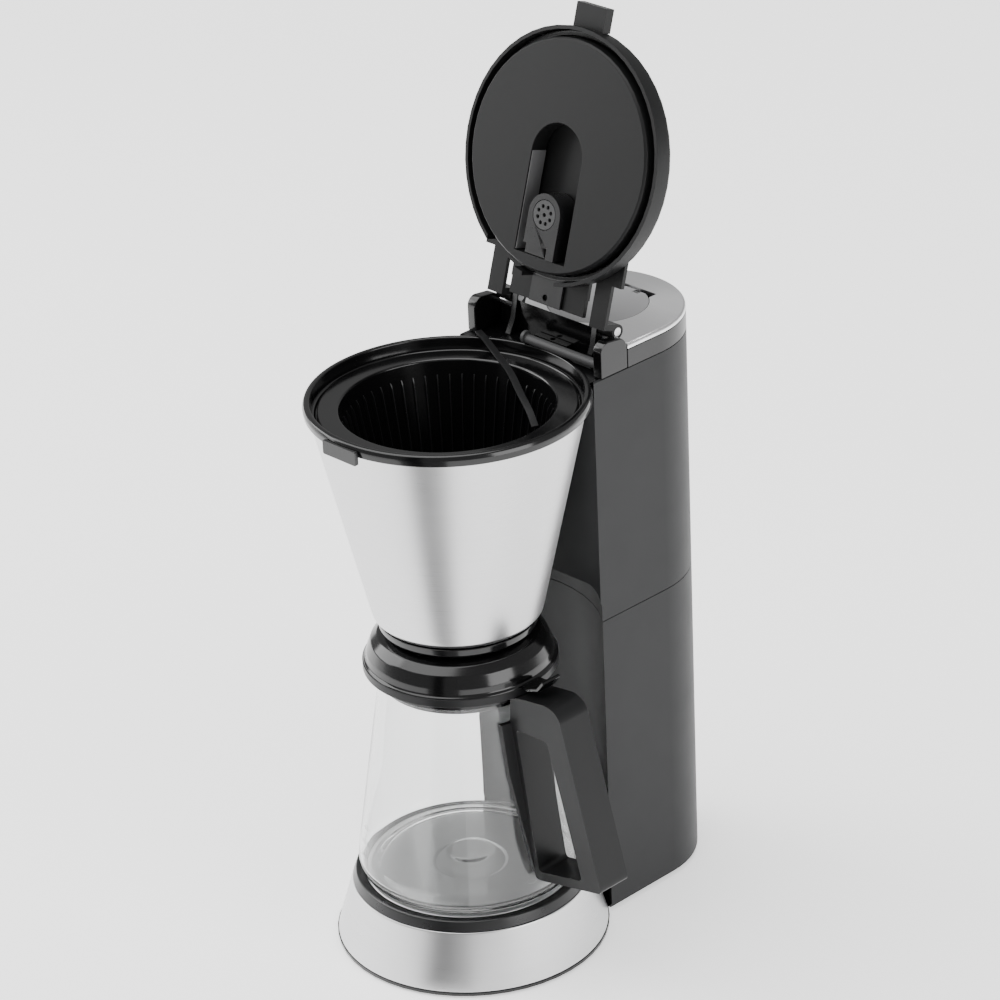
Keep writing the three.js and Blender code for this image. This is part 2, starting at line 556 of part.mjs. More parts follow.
function filterInsert() {
  const z = LEDGE_Z + GAP;
  const floor = INSERT_FLOOR_Z;
  return lathe([[SEAT_R, floor], [SEAT_R, floor - 1.6], [8, floor - 8.4], [9.6, floor - 8.4], [9.6, floor - 1.9],
    [INSERT_BOTTOM_R + 2, floor - 1.2], [INSERT_R + 2, z - 2], [INSERT_R + 3.2, z], [FLANGE_R, z],
    [FLANGE_R, z + 1.2], [FLANGE_R - 0.6, z + 1.6], [INSERT_R + 0.8, z + 1.6], [INSERT_R, z + 0.9],
    [INSERT_BOTTOM_R, floor + 1.8], [INSERT_BOTTOM_R - 1.6, floor]], 40);
}

const HEAD_Z = INSERT_FLOOR_Z + 1.9;
const SPRING_TOP_Z = HEAD_Z + 13.6;
const SPRING_R = 5;
const WIRE_R = 0.55;

function dripValve() {
  return lathe([[0, STEM_Z], [3.4, STEM_Z], [4.2, STEM_Z + 0.9], [4.2, INSERT_FLOOR_Z - 3],
    [3, INSERT_FLOOR_Z - 2], [3, HEAD_Z], [8.2, HEAD_Z], [8.2, HEAD_Z + 1.2], [3, HEAD_Z + 1.8], [3, HEAD_Z + 6],
    [0, HEAD_Z + 6]], 20);
}

function valveSpring() {
  const turns = 5;
  const z0 = HEAD_Z + 1.8 + WIRE_R + 0.3;
  const z1 = SPRING_TOP_Z - WIRE_R - 0.3;
  const points = [];
  for (let i = 0; i <= turns * 10; i += 1) {
    const a = i / 10 * Math.PI * 2;
    points.push(V3(SPRING_R * Math.cos(a), SPRING_R * Math.sin(a), z0 + (z1 - z0) * i / (turns * 10)));
  }
  return tube(points, WIRE_R, turns * 9, 2);
}

// Cage that holds the spring down: a cap on three legs, so water can run in under it.
function valveCage() {
  const z = INSERT_FLOOR_Z + GAP;
  const cap = lathe([[11, z], [13, z], [13, SPRING_TOP_Z + 1.6], [11.4, SPRING_TOP_Z + 2.6], [3.8, SPRING_TOP_Z + 2.6],
    [3.8, SPRING_TOP_Z], [11, SPRING_TOP_Z]], 20);
  const windows = [0, 1, 2].map((i) => box(3, 20, -7, 7, z + 1.5, SPRING_TOP_Z - 2)
    .rotateZ(i * Math.PI * 2 / 3 + Math.PI / 6));
  return cut(cap, ...windows);
}

function latchPlate() {
  const z0 = RIM_LOW_Z - 4;
  const s = roundedRect(-13, 13, z0, RIM_Z - 2, 1.2);
  const plate = prismY(s, -RIM_R - 1.7, -RIM_R + 6);
  return cut(plate, rod(RIM_R + GAP, z0 - 5, RIM_Z + 5, 0, 0, SMOOTH));
}

// Curved arm of the insert: from above the rim at the rear left, over the flange and down inside.
const gripPath = [V3(-43.4, 67, RIM_Z + 2.2), V3(-36.4, 64.7, RIM_Z + 1), V3(-31, 64, RIM_Z - 1.8),
  V3(-23.5, 62.2, RIM_Z - 5.1), V3(-12.5, 57.3, RIM_Z - 6.4), V3(-4.4, 54.4, RIM_Z - 9.4),
  V3(8.7, 47.4, RIM_Z - 13.6), V3(22, 41.5, RIM_Z - 19.4), V3(29.5, 37.9, RIM_Z - 25)];
const grip = (grow) => ribbon(gripPath, 4.2 + grow, 1.2 + grow, 20);

add('bowl', bowl(), 'black');
add('cone_shell', coneShell(), 'steel');
add('outlet_ring', outletRing(), 'black');
add('latch_plate', latchPlate(), 'black');

const insert = pivotGroup(0, 0, INSERT_FLOOR_Z);
add('filter_insert', cut(filterInsert(), grip(2 * GAP)), 'black', insert);
add('insert_grip', grip(0), 'satin', insert);
add('valve_cage', valveCage(), 'black', insert);
add('drip_valve', dripValve(), 'grey', insert);
add('valve_seal', lathe([[5.9, INSERT_FLOOR_Z + 0.35], [8, INSERT_FLOOR_Z + 0.35], [8, HEAD_Z - 0.35],
  [5.9, HEAD_Z - 0.35]], 24), 'silicone', insert);
add('valve_spring', valveSpring(), 'steel', insert);

// ---------------------------------------------------------------- carafe
const glassR = (z) => GLASS_R - 0.8 - (z - GLASS_Z - 16) * (GLASS_R - 0.8 - NECK_R - 1.2) / (GLASS_H - 25);
const SHOULDER_Z = GLASS_Z + GLASS_H - 9;

function carafeGlass() {
  const z = GLASS_Z;
  const t = GLASS_T;
  return lathe([[0, z + 3.2], [50, z + 2.6], [55, z], [GLASS_R - 5, z + 0.6], [GLASS_R - 1.5, z + 3.2],
    [GLASS_R, z + 8], [GLASS_R - 0.8, z + 16], [NECK_R + 1.2, SHOULDER_Z], [NECK_R, SHOULDER_Z + 5],
    [NECK_R, NECK_Z], [NECK_R - t, NECK_Z], [NECK_R - t, SHOULDER_Z + 4.6], [NECK_R + 1.2 - t, SHOULDER_Z - 0.6],
    [GLASS_R - 0.8 - t, z + 15.6], [GLASS_R - t - 0.1, z + 8.2], [GLASS_R - 5.5, z + 3.8],
    [51, z + 5.4], [0, z + 6]], 40);
}

const CLASP_W = 17;
const COLLAR_BAND_H = 4.4;
const collarBand = () => lathe([[NECK_R + 0.4, NECK_Z - COLLAR_BAND_H], [NECK_R + 3, NECK_Z - COLLAR_BAND_H],
  [NECK_R + 3, NECK_Z - 0.4], [NECK_R + 0.4, NECK_Z - 0.4]], 36);

// Closed loop handle: an inner leg against the glass, a slanted grip, and a clasp round the glass.
function carafeHandle() {
  const out = HANDLE_REACH;
  const top = NECK_Z + 4;
  const low = GLASS_Z + 19;
  const s = new THREE.Shape();
  s.moveTo(NECK_R + 3.6, NECK_Z - 6);
  s.lineTo(NECK_R + 3.6, NECK_Z - 1);
  s.quadraticCurveTo(NECK_R + 6, top - 4, NECK_R + 13, top - 2.4);
  s.lineTo(out - 40, top);
  s.quadraticCurveTo(out - 30, top, out - 27.5, top - 8);
  s.lineTo(out - 1, low + 14.5);
  s.quadraticCurveTo(out + 1, low + 10, out - 4, low + 9.4);
  s.lineTo(glassR(low) + 6, low);
  s.quadraticCurveTo(glassR(low) + 1, low - 1, glassR(low) + 0.8, low + 3);
  s.lineTo(glassR(NECK_Z - 18) + 0.6, NECK_Z - 18);
  s.closePath();
  const hole = roundedLoop([[glassR(NECK_Z - 20) + 5, NECK_Z - 20], [glassR(low + 5) + 5.6, low + 5.4],
    [out - 15, low + 13], [out - 39, NECK_Z - 19]], 3);
  s.holes.push(hole);
  const loop = prismY(s, -HANDLE_W / 2, HANDLE_W / 2, 5);
  const z0 = low + 4;
  const z1 = SHOULDER_Z - 4;
  const wrap = lathe([[glassR(z0) + 0.4, z0], [glassR(z0) + 3.2, z0], [glassR(z1) + 3.2, z1], [glassR(z1) + 0.4, z1]], 40);
  const wrapArea = prismX(polygon([[-11, z0 - 1], [11, z0 - 1], [CLASP_W, z1 - 30], [CLASP_W, z1 + 1],
    [-CLASP_W, z1 + 1], [-CLASP_W, z1 - 30]]), 20, GLASS_R + 10);
  const room = lathe([[0, GLASS_Z], [glassR(GLASS_Z + 16) + 0.4, GLASS_Z], [glassR(GLASS_Z + 16) + 0.4, GLASS_Z + 16],
    [glassR(SHOULDER_Z) + 0.4, SHOULDER_Z], [NECK_R + 0.4, SHOULDER_Z + 5.2], [NECK_R + 0.4, SHOULDER_Z + 6],
    [0, SHOULDER_Z + 6]], 40);
  return cut(join(loop, common(wrap, wrapArea)), room,
    rod(LID_EDGE_R + GAP, NECK_Z - 0.1, NECK_Z + 30, 0, 0, 48));
}

// Outline through the given corners with the corners rounded to radius r.
function roundedLoop(corners, r) {
  const path = new THREE.Path();
  const n = corners.length;
  corners.forEach(([x, y], i) => {
    const [px, py] = corners[(i + n - 1) % n];
    const [nx, ny] = corners[(i + 1) % n];
    const a = Math.hypot(px - x, py - y);
    const b = Math.hypot(nx - x, ny - y);
    const from = [x + (px - x) * r / a, y + (py - y) * r / a];
    const to = [x + (nx - x) * r / b, y + (ny - y) * r / b];
    if (i === 0) path.moveTo(...from);
    else path.lineTo(...from);
    path.quadraticCurveTo(x, y, ...to);
  });
  path.closePath();
  return path;
}

function carafeLid() {
  const z = CARAFE_LID_Z;
  const r = LID_EDGE_R;
  const plug = NECK_R - GLASS_T - 0.6;
  const top = z + CARAFE_LID_H;
  return lathe([[plug - 1.8, z - 10], [plug, z - 10], [plug, z], [r, z], [r, z + 5.3], [r - 1.5, z + 6.6],
    [r - 2.1, z + 10.4], [r - 4.7, top - 6], [r - 9, top - 1.5], [r - 13.5, top], [17, top], [14.5, top - 2.4],
    [5, top - 3.4], [5, top - 5.4], [15, top - 4.4], [18, top - 2], [r - 14, top - 2], [r - 10.3, top - 3.2],
    [r - 6.5, top - 7.2], [r - 4.1, z + 10], [r - 3.9, z + 2.1], [plug - 1.8, z + 2.1]], 36);
}

// Thumb lever on the lid's edge, reaching out over the handle.
function lidLever() {
  const z = NECK_Z + 4.6;
  const x = LID_EDGE_R + GAP;
  return prismY(polygon([[x, z], [x + 5, z], [x + 13, z + 3], [x + 18, z + 9.5], [x + 16, z + 10.5],
    [x + 11.5, z + 5], [x + 5, z + 3.1], [x, z + 3.1]]), -7, 7);
}

const carafe = pivotGroup(0, 0, GLASS_Z);
add('carafe_glass', carafeGlass(), 'glass', carafe);
add('carafe_collar', collarBand(), 'black', carafe);
add('carafe_handle', carafeHandle(), 'satin', carafe);
add('carafe_lid', carafeLid(), 'black', carafe);
add('carafe_lid_lever', lidLever(), 'black', carafe);

// ---------------------------------------------------------------- lid hinge
const BRACKET_X = 29.5;
const BRACKET_T = 3.6;
const EAR_IN_X = TOWER_HALF_W - 6.4;
const BOSS_R = 4.3;
const ARM_IN_X = TOWER_HALF_W - 18.5;
const ARM_OUT_X = EAR_IN_X - 0.6;
const hole = (x0, x1) => rodX(PIN_R + 0.2, x0, x1, HINGE_Y, HINGE_Z);

// Bracket in front of the steel top: a wall between two lugs that carry the pins.
function hingeBracket() {
  const z0 = DECK_Z + GAP;
  const y1 = COVER_FRONT_Y - 0.4;
  const clear = COVER_TOP_Z + 0.5;
  const s = polygon([[y1 - 10.5, z0], [y1, z0], [y1, clear], [HINGE_Y + 2.4, clear + 0.2],
    [HINGE_Y + 4, HINGE_Z - 1], [HINGE_Y + 3, HINGE_Z + 3], [HINGE_Y, HINGE_Z + BOSS_R],
    [HINGE_Y - 3, HINGE_Z + 3], [y1 - 6, clear - 6]]);
  const wall = box(-BRACKET_X - 1, BRACKET_X + 1, y1 - 2.7, y1, z0, HINGE_Z - 1.2);
  const lugs = [BRACKET_X, -BRACKET_X - BRACKET_T].map((x) => prismX(s, x, x + BRACKET_T));
  return cut(join(wall, ...lugs), hole(-60, 60));
}

// Rounded cheek at the outer end of the hinge.
function hingeEar(side) {
  const y1 = COVER_FRONT_Y - 0.4;
  const z0 = DECK_Z + GAP;
  const top = HINGE_Z + 0.8;
  const r = 7;
  const s = new THREE.Shape();
  s.moveTo(y1 - 21, z0);
  s.lineTo(y1, z0);
  s.lineTo(y1, top - r - 3);
  s.absarc(y1 - r, top - r - 1, r, 0, Math.PI / 2);
  s.lineTo(y1 - 15, top);
  s.absarc(y1 - 15, top - 6, 6, Math.PI / 2, Math.PI);
  s.closePath();
  const x0 = side > 0 ? EAR_IN_X : -TOWER_HALF_W;
  return cut(prismX(s, x0, x0 + TOWER_HALF_W - EAR_IN_X, 6), coneRoom(0, -3));
}

const pinBar = (side) => rodX(PIN_R, side > 0 ? BRACKET_X + 0.2 : -ARM_OUT_X, side > 0 ? ARM_OUT_X : -BRACKET_X - 0.2,
  HINGE_Y, HINGE_Z);
const REST_BAR_R = 2.8;

add('hinge_bracket', hingeBracket(), 'black');
add('hinge_ear_right', hingeEar(1), 'black');
add('hinge_ear_left', hingeEar(-1), 'black');
add('lid_pin_right', pinBar(1), 'steel');
add('lid_pin_left', pinBar(-1), 'steel');
add('hinge_bar', join(rodX(REST_BAR_R, -13, EAR_IN_X - 0.4, RIM_R - 4.4, RIM_Z + REST_BAR_R + 0.5),
  rodX(REST_BAR_R + 0.9, -15, -13, RIM_R - 4.4, RIM_Z + REST_BAR_R + 1.3)), 'grey');
add('riser_outlet', cut(box(-13, 13, NOZZLE_Y - 3.2, COVER_FRONT_Y - 3.5, DECK_Z + GAP, DECK_Z + 4.5),
  rod(1.6, DECK_Z - 1, DECK_Z + 9, 0, NOZZLE_Y - 0.6, 12)), 'black');

// ---------------------------------------------------------------- brew lid, drawn closed
const LINER_R = 66;
const LINER_Z = LID_Z - 2;
const CHANNEL_W = 12;
const SPRAY_Y = 33.4;
const SPRAY_R = 8.3;
const SLOT_W = 19.3;                                 // recess in the liner round the water channel
const SLOT_FRONT_Y = -18.5;
const NECK_LOW_Z = LID_TOP_Z - 4.2;
const ARM_END_Y = COVER_FRONT_Y - 1.2;
const CHANNEL_LOW_Z = LID_Z - 3.8;
const CHANNEL_BACK_Y = INSERT_R - 2.8;
const NECK_END_Y = COVER_FRONT_Y - 4.3;

function lidShell() {
  const r = LID_R;
  const z = LID_Z;
  const top = LID_TOP_Z;
  const dish = lathe([[r - 2.2, z], [r, z], [r, top - 3.4], [r - 1, top - 1.2], [r - 3.4, top], [0, top + 1.6],
    [0, top - 0.8], [r - 4.2, top - 2.4], [r - 2.2, top - 4.2]], SMOOTH);
  const skin = [top - 2.6, top];
  const arm = (side) => {
    const x = [side * ARM_IN_X, side * ARM_OUT_X].sort((a, b) => a - b);
    const wide = [side * ARM_IN_X, side * TOWER_HALF_W].sort((a, b) => a - b);
    const web = prismX(polygon([[ARM_END_Y - 3.6, top - 1], [ARM_END_Y, top - 1], [ARM_END_Y, HINGE_Z - 3.5],
      [HINGE_Y, HINGE_Z], [HINGE_Y - 4.2, HINGE_Z]]), ...x);
    return [box(...wide, 30, COVER_FRONT_Y - 27, ...skin), box(...x, 30, ARM_END_Y, ...skin), web,
      rodX(BOSS_R, ...x, HINGE_Y, HINGE_Z)];
  };
  const tab = box(-11.2, 11.2, -r - 12.7, -r + 1, top - 8, top - 1.6);
  const middle = box(-BRACKET_X, BRACKET_X, 30, NECK_END_Y, ...skin);
  const body = join(dish, ...arm(1), ...arm(-1), middle, tab);
  const lugRoom = [BRACKET_X - 0.7, -BRACKET_X - BRACKET_T - 0.6].map((x) => box(x, x + BRACKET_T + 1.3,
    COVER_FRONT_Y - 14, 120, 0, 500));
  return cut(body, hole(-100, 100), ...lugRoom, gripRoom(),
    box(-CHANNEL_W - GAP, CHANNEL_W + GAP, LINER_R - 8, 120, 0, top - 2.4),
    channelBlock(GAP, 0, top - 2.4, LINER_R - 6));
}

// Notch in the skirt for the insert's grip.
const gripRoom = () => box(-43, -19, 54, 74, 0, RIM_Z + 4);

function lidLiner() {
  const r = LINER_R;
  const z = LINER_Z;
  const dish = lathe([[0, z], [r - 1.2, z], [r, z + 1.2], [r, LID_TOP_Z - 4], [r - 2, LID_TOP_Z - 4], [r - 2, z + 2],
    [0, z + 2]], SMOOTH);
  const back = CHANNEL_BACK_Y + GAP + 1.6;
  return cut(join(dish, roundEnded(SLOT_W + 1.6, SLOT_FRONT_Y + SLOT_W, back, z, LID_TOP_Z - 3.2)),
    roundEnded(SLOT_W, SLOT_FRONT_Y + SLOT_W, back - 1.6, z - 5, LID_TOP_Z),
    box(-CHANNEL_W - GAP, CHANNEL_W + GAP, CHANNEL_BACK_Y - 1, 100, NECK_LOW_Z - GAP, LID_TOP_Z));
}

// A block with a round front end about (0, y), w to each side, reaching back to backY.
function roundEnded(w, y, backY, z0, z1) {
  const s = new THREE.Shape();
  s.moveTo(w, backY);
  s.lineTo(-w, backY);
  s.absarc(0, y, w, Math.PI, Math.PI * 2);
  s.closePath();
  return prism(s, z0, z1, 10);
}
const channelBlock = (grow, z0, z1, backY) => roundEnded(CHANNEL_W + grow, SPRAY_Y, backY, z0, z1);

// Trough that carries hot water from the riser's outlet to the spray plate.
function waterChannel() {
  const roof = LID_TOP_Z - 2.4 - GAP;
  const w = CHANNEL_W;
  const t = 1.8;
  const trough = join(channelBlock(0, CHANNEL_LOW_Z, roof, CHANNEL_BACK_Y),
    box(-w, w, CHANNEL_BACK_Y - 8, NECK_END_Y, NECK_LOW_Z, roof));
  const gripNotch = box(-w - 1, 6, CHANNEL_BACK_Y - 6, CHANNEL_BACK_Y + 1, 0, CHANNEL_LOW_Z + 2.6);
  const shelf = box(-w - 1, 6, CHANNEL_BACK_Y - 6 - t, CHANNEL_BACK_Y + 1, 0, CHANNEL_LOW_Z + 2.6 + t);
  return cut(trough, cut(channelBlock(-t, CHANNEL_LOW_Z + t, roof + 1, CHANNEL_BACK_Y - t), shelf), gripNotch,
    box(-w + t, w - t, CHANNEL_BACK_Y - 8, NECK_END_Y - t, NECK_LOW_Z + 1.2, roof + 1),
    rod(SPRAY_R + GAP, CHANNEL_LOW_Z - 1, CHANNEL_LOW_Z + 3, 0, SPRAY_Y, 32),
    rod(1.9, NECK_LOW_Z - 1, NECK_LOW_Z + 3, 0, NECK_END_Y - t - 2.2, 16));
}

function sprayPlate() {
  const disc = rod(SPRAY_R, CHANNEL_LOW_Z, CHANNEL_LOW_Z + 1.8, 0, SPRAY_Y, 32);
  const holes = [rod(1.3, 0, 500, 0, SPRAY_Y, 8)];
  for (let i = 0; i < 8; i += 1) {
    const a = i * Math.PI / 4 + Math.PI / 8;
    holes.push(rod(1.2, 0, 500, 5 * Math.cos(a), SPRAY_Y + 5 * Math.sin(a), 8));
  }
  return cut(disc, ...holes);
}

const lid = pivotGroup(0, HINGE_Y, HINGE_Z);
lid.parent.rotation.x = -LID_OPEN * Math.PI / 180;
add('lid_shell', lidShell(), 'black', lid);
add('lid_liner', lidLiner(), 'satin', lid);
add('water_channel', waterChannel(), 'black', lid);
add('spray_plate', sprayPlate(), 'satin', lid);

// ---------------------------------------------------------------- switch
const SWITCH_X = -TOWER_HALF_W;
function switchFrame() {
  const outer = box(SWITCH_X + 0.2, SWITCH_X + 9, SWITCH_Y - SWITCH_W / 2 + 0.3, SWITCH_Y + SWITCH_W / 2 - 0.3,
    SWITCH_Z - SWITCH_H / 2 + 0.3, SWITCH_Z + SWITCH_H / 2 - 0.3);
  return cut(outer, box(SWITCH_X - 3, SWITCH_X + 6.5, SWITCH_Y - SWITCH_W / 2 + 1.8, SWITCH_Y + SWITCH_W / 2 - 1.8,
    SWITCH_Z - SWITCH_H / 2 + 1.8, SWITCH_Z + SWITCH_H / 2 - 1.8));
}

function rocker() {
  const x = SWITCH_X;
  const h = SWITCH_H / 2 - 2.6;
  const s = polygon([[x + 0.5, SWITCH_Z + h], [x + 0.6, SWITCH_Z], [x + 2, SWITCH_Z - h], [x + 4.2, SWITCH_Z - h],
    [x + 5.4, SWITCH_Z], [x + 4.2, SWITCH_Z + h]]);
  return prismY(s, SWITCH_Y - SWITCH_W / 2 + 2.2, SWITCH_Y + SWITCH_W / 2 - 2.2);
}

add('switch_frame', switchFrame(), 'black');
add('switch_rocker', rocker(), 'black', pivotGroup(SWITCH_X + 3, SWITCH_Y, SWITCH_Z));

// ---------------------------------------------------------------- origin
// The origin is the middle of the footprint, on the surface the feet stand on.
const extent = new THREE.Box3().setFromObject(machine, true);
const middle = extent.getCenter(new THREE.Vector3());
machine.position.set(-middle.x, -middle.y, -extent.min.z);

export default machine;
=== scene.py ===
"""Drip coffee maker: a steel cone and a glass carafe in front of a dark tower, with the lid open."""
import json
import math

import bmesh
import bpy
from mathutils import Matrix, Vector
from mathutils.geometry import tessellate_polygon

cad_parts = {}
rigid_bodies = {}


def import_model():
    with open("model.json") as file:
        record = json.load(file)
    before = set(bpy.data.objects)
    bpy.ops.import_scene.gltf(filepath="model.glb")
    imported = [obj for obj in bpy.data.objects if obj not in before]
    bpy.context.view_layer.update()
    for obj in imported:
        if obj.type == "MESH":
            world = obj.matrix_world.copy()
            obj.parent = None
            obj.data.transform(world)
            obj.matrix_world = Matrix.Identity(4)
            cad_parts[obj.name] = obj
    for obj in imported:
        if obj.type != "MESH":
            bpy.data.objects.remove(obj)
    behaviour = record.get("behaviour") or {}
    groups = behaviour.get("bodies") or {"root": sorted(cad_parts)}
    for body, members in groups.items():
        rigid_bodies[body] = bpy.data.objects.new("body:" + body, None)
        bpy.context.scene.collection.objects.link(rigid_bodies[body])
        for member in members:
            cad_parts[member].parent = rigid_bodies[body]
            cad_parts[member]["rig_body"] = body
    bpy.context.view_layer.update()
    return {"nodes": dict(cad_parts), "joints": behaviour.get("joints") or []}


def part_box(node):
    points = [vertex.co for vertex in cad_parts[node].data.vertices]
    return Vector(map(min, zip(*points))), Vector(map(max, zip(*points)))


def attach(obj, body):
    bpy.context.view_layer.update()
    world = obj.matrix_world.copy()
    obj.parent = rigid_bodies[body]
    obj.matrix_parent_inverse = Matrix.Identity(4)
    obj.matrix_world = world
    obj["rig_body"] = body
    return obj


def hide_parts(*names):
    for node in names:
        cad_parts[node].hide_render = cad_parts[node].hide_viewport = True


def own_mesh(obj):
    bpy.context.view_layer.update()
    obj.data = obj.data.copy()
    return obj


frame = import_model()

bl_info = {
    "name": "Drip Coffee Maker",
    "version": (1, 0, 0),
    "blender": (4, 5, 0),
    "location": "View3D > Sidebar > Coffee Maker",
    "description": "Builds the visible pieces of a drip coffee maker around its packed frame",
    "category": "Object",
}

MM = 0.001
RING_LOW, RING_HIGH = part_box("base_ring")
AXIS = Vector(((RING_LOW.x + RING_HIGH.x) / 2, (RING_LOW.y + RING_HIGH.y) / 2, 0))   # brew axis
JOINTS = {joint["name"]: joint for joint in frame["joints"]}
HINGE = Vector(JOINTS["lid_hinge"]["pos_m"])
LID_TURN = math.radians(-JOINTS["lid_hinge"]["range_deg"][0])


# ---------------------------------------------------------------- sizes and colours

class CoffeeMakerFinish(bpy.types.PropertyGroup):
    """Colours and surface strengths of the whole machine."""
    gloss_black: bpy.props.FloatVectorProperty(
        name="Gloss black", description="Rim, band, carafe lid and other glossy mouldings",
        subtype="COLOR", size=3, min=0, max=1, default=(0.003, 0.003, 0.0032))
    tower_grey: bpy.props.FloatVectorProperty(
        name="Tower grey", description="Fine textured plastic of the tower and the handle",
        subtype="COLOR", size=3, min=0, max=1, default=(0.019, 0.0193, 0.020))
    lid_grey: bpy.props.FloatVectorProperty(
        name="Lid grey", description="Satin plastic under the lid",
        subtype="COLOR", size=3, min=0, max=1, default=(0.008, 0.0081, 0.0083))
    flap_grey: bpy.props.FloatVectorProperty(
        name="Flap grey", description="Plastic disc over the filling hole",
        subtype="COLOR", size=3, min=0, max=1, default=(0.34, 0.34, 0.345))
    steel: bpy.props.FloatVectorProperty(
        name="Steel", description="Brushed skin of the cone and the base",
        subtype="COLOR", size=3, min=0, max=1, default=(0.70, 0.70, 0.705))
    brush_depth: bpy.props.FloatProperty(
        name="Brush depth", description="Strength of the brushing marks in the steel",
        subtype="FACTOR", min=0, max=1, default=0.22)
    grain_depth: bpy.props.FloatProperty(
        name="Grain depth", description="Strength of the spark-eroded grain of the dark plastic",
        subtype="FACTOR", min=0, max=1, default=0.35)


class CoffeeMakerSizes(bpy.types.PropertyGroup):
    """Sizes that a user may change without touching the frame."""
    edge_round: bpy.props.FloatProperty(
        name="Edge rounding", description="Radius on the moulded edges, in millimetres",
        min=0.1, max=2, default=0.6)
    insert_ribs: bpy.props.IntProperty(
        name="Insert ribs", description="Upright ribs round the inside of the filter insert",
        min=12, max=96, default=52)
    rib_depth: bpy.props.FloatProperty(
        name="Rib depth", description="How far each rib stands off the wall, in millimetres",
        min=0.3, max=3, default=1.5)
    turned_sides: bpy.props.IntProperty(
        name="Turned sides", description="Sides of the large turned pieces",
        min=48, max=256, default=144)


# ---------------------------------------------------------------- shader expressions

class Wire:
    """A shader socket that can be used in arithmetic."""

    def __init__(self, finish, socket):
        self.finish, self.socket = finish, socket

    def maths(self, operation, *values):
        return self.finish.node("ShaderNodeMath", {"operation": operation}, *values)

    def __add__(self, other): return self.maths("ADD", self, other)
    def __radd__(self, other): return self.maths("ADD", other, self)
    def __sub__(self, other): return self.maths("SUBTRACT", self, other)
    def __rsub__(self, other): return self.maths("SUBTRACT", other, self)
    def __mul__(self, other): return self.maths("MULTIPLY", self, other)
    def __rmul__(self, other): return self.maths("MULTIPLY", other, self)


class Finish:
    """One procedural material: a Principled shader and the nodes that feed it."""

    def __init__(self, name, **constants):
        self.material = bpy.data.materials.new(name)
        self.material.use_nodes = True
        self.tree = self.material.node_tree
        self.shader = self.tree.nodes["Principled BSDF"]
        for socket, value in constants.items():
            self.set(socket.replace("_", " "), value)

    def set(self, socket, value):
        target = self.shader.inputs[socket]
        if isinstance(value, Wire):
            self.tree.links.new(value.socket, target)
        elif hasattr(value, "__len__"):
            target.default_value = (*value, 1.0) if len(value) == 3 else value
        else:
            target.default_value = value
        return self

    def node(self, kind, settings=None, *values, out=0, **named):
        made = self.tree.nodes.new(kind)
        for key, value in (settings or {}).items():
            setattr(made, key, value)
        pairs = list(enumerate(values)) + [(key.replace("_", " "), value) for key, value in named.items()]
        for key, value in pairs:
            target = made.inputs[key]
            if isinstance(value, Wire):
                self.tree.links.new(value.socket, target)
            elif hasattr(value, "__len__") and len(value) == 3 and target.type == "RGBA":
                target.default_value = (*value, 1.0)
            else:
                target.default_value = value
        return Wire(self, made.outputs[out])

    def place(self):
        """Position in metres, counted from the brew axis."""
        at = self.node("ShaderNodeTexCoord", out="Object")
        return self.node("ShaderNodeVectorMath", {"operation": "SUBTRACT"}, at, tuple(AXIS))

    def blotch(self, scale, detail=2.0, roughness=0.5, where=None):
        return self.node("ShaderNodeTexNoise", None, Vector=where or self.place(), Scale=scale,
                         Detail=detail, Roughness=roughness)

    def mix(self, factor, low, high):
        made = self.tree.nodes.new("ShaderNodeMix")
        made.data_type = "RGBA"
        for socket, value in ((made.inputs[0], factor), (made.inputs[6], low), (made.inputs[7], high)):
            if isinstance(value, Wire):
                self.tree.links.new(value.socket, socket)
            else:
                socket.default_value = value if isinstance(value, (int, float)) else (*value, 1.0)
        return Wire(self, made.outputs[2])

    def bump(self, height, strength, distance):
        self.set("Normal", self.node("ShaderNodeBump", None, Height=height, Strength=strength, Distance=distance))
        return self


def shade(colour, factor):
    return tuple(min(1.0, c * factor) for c in colour)


def gloss_black(name="gloss black moulding", colour=None, rough=0.10):
    colour = tuple(colour or bpy.context.scene.coffee_finish.gloss_black)
    f = Finish(name, IOR=1.5)
    smear = f.blotch(26, 3.0)
    f.set("Base Color", f.mix(smear, shade(colour, 0.8), shade(colour, 1.25)))
    f.set("Roughness", rough + 0.10 * f.blotch(70, 4.0, 0.6))
    f.bump(f.blotch(420, 1.0), 0.10, 0.00008)
    return f.material


def satin_plastic(name, colour, rough=0.46, grain=None):
    look = bpy.context.scene.coffee_finish
    colour = tuple(colour)
    f = Finish(name, IOR=1.48, Specular_IOR_Level=0.22)
    grain = look.grain_depth if grain is None else grain
    fine = f.blotch(2600, 2.0, 0.55)
    pits = f.blotch(900, 1.0)
    cloud = f.blotch(14, 3.0)
    f.set("Base Color", f.mix(cloud * 0.6 + fine * 0.4, shade(colour, 0.86), shade(colour, 1.14)))
    f.set("Roughness", (rough - 0.05) + 0.10 * f.blotch(40, 3.0) + 0.05 * fine)
    f.bump(fine * 0.7 + pits * 0.3, grain, 0.00012)
    return f.material


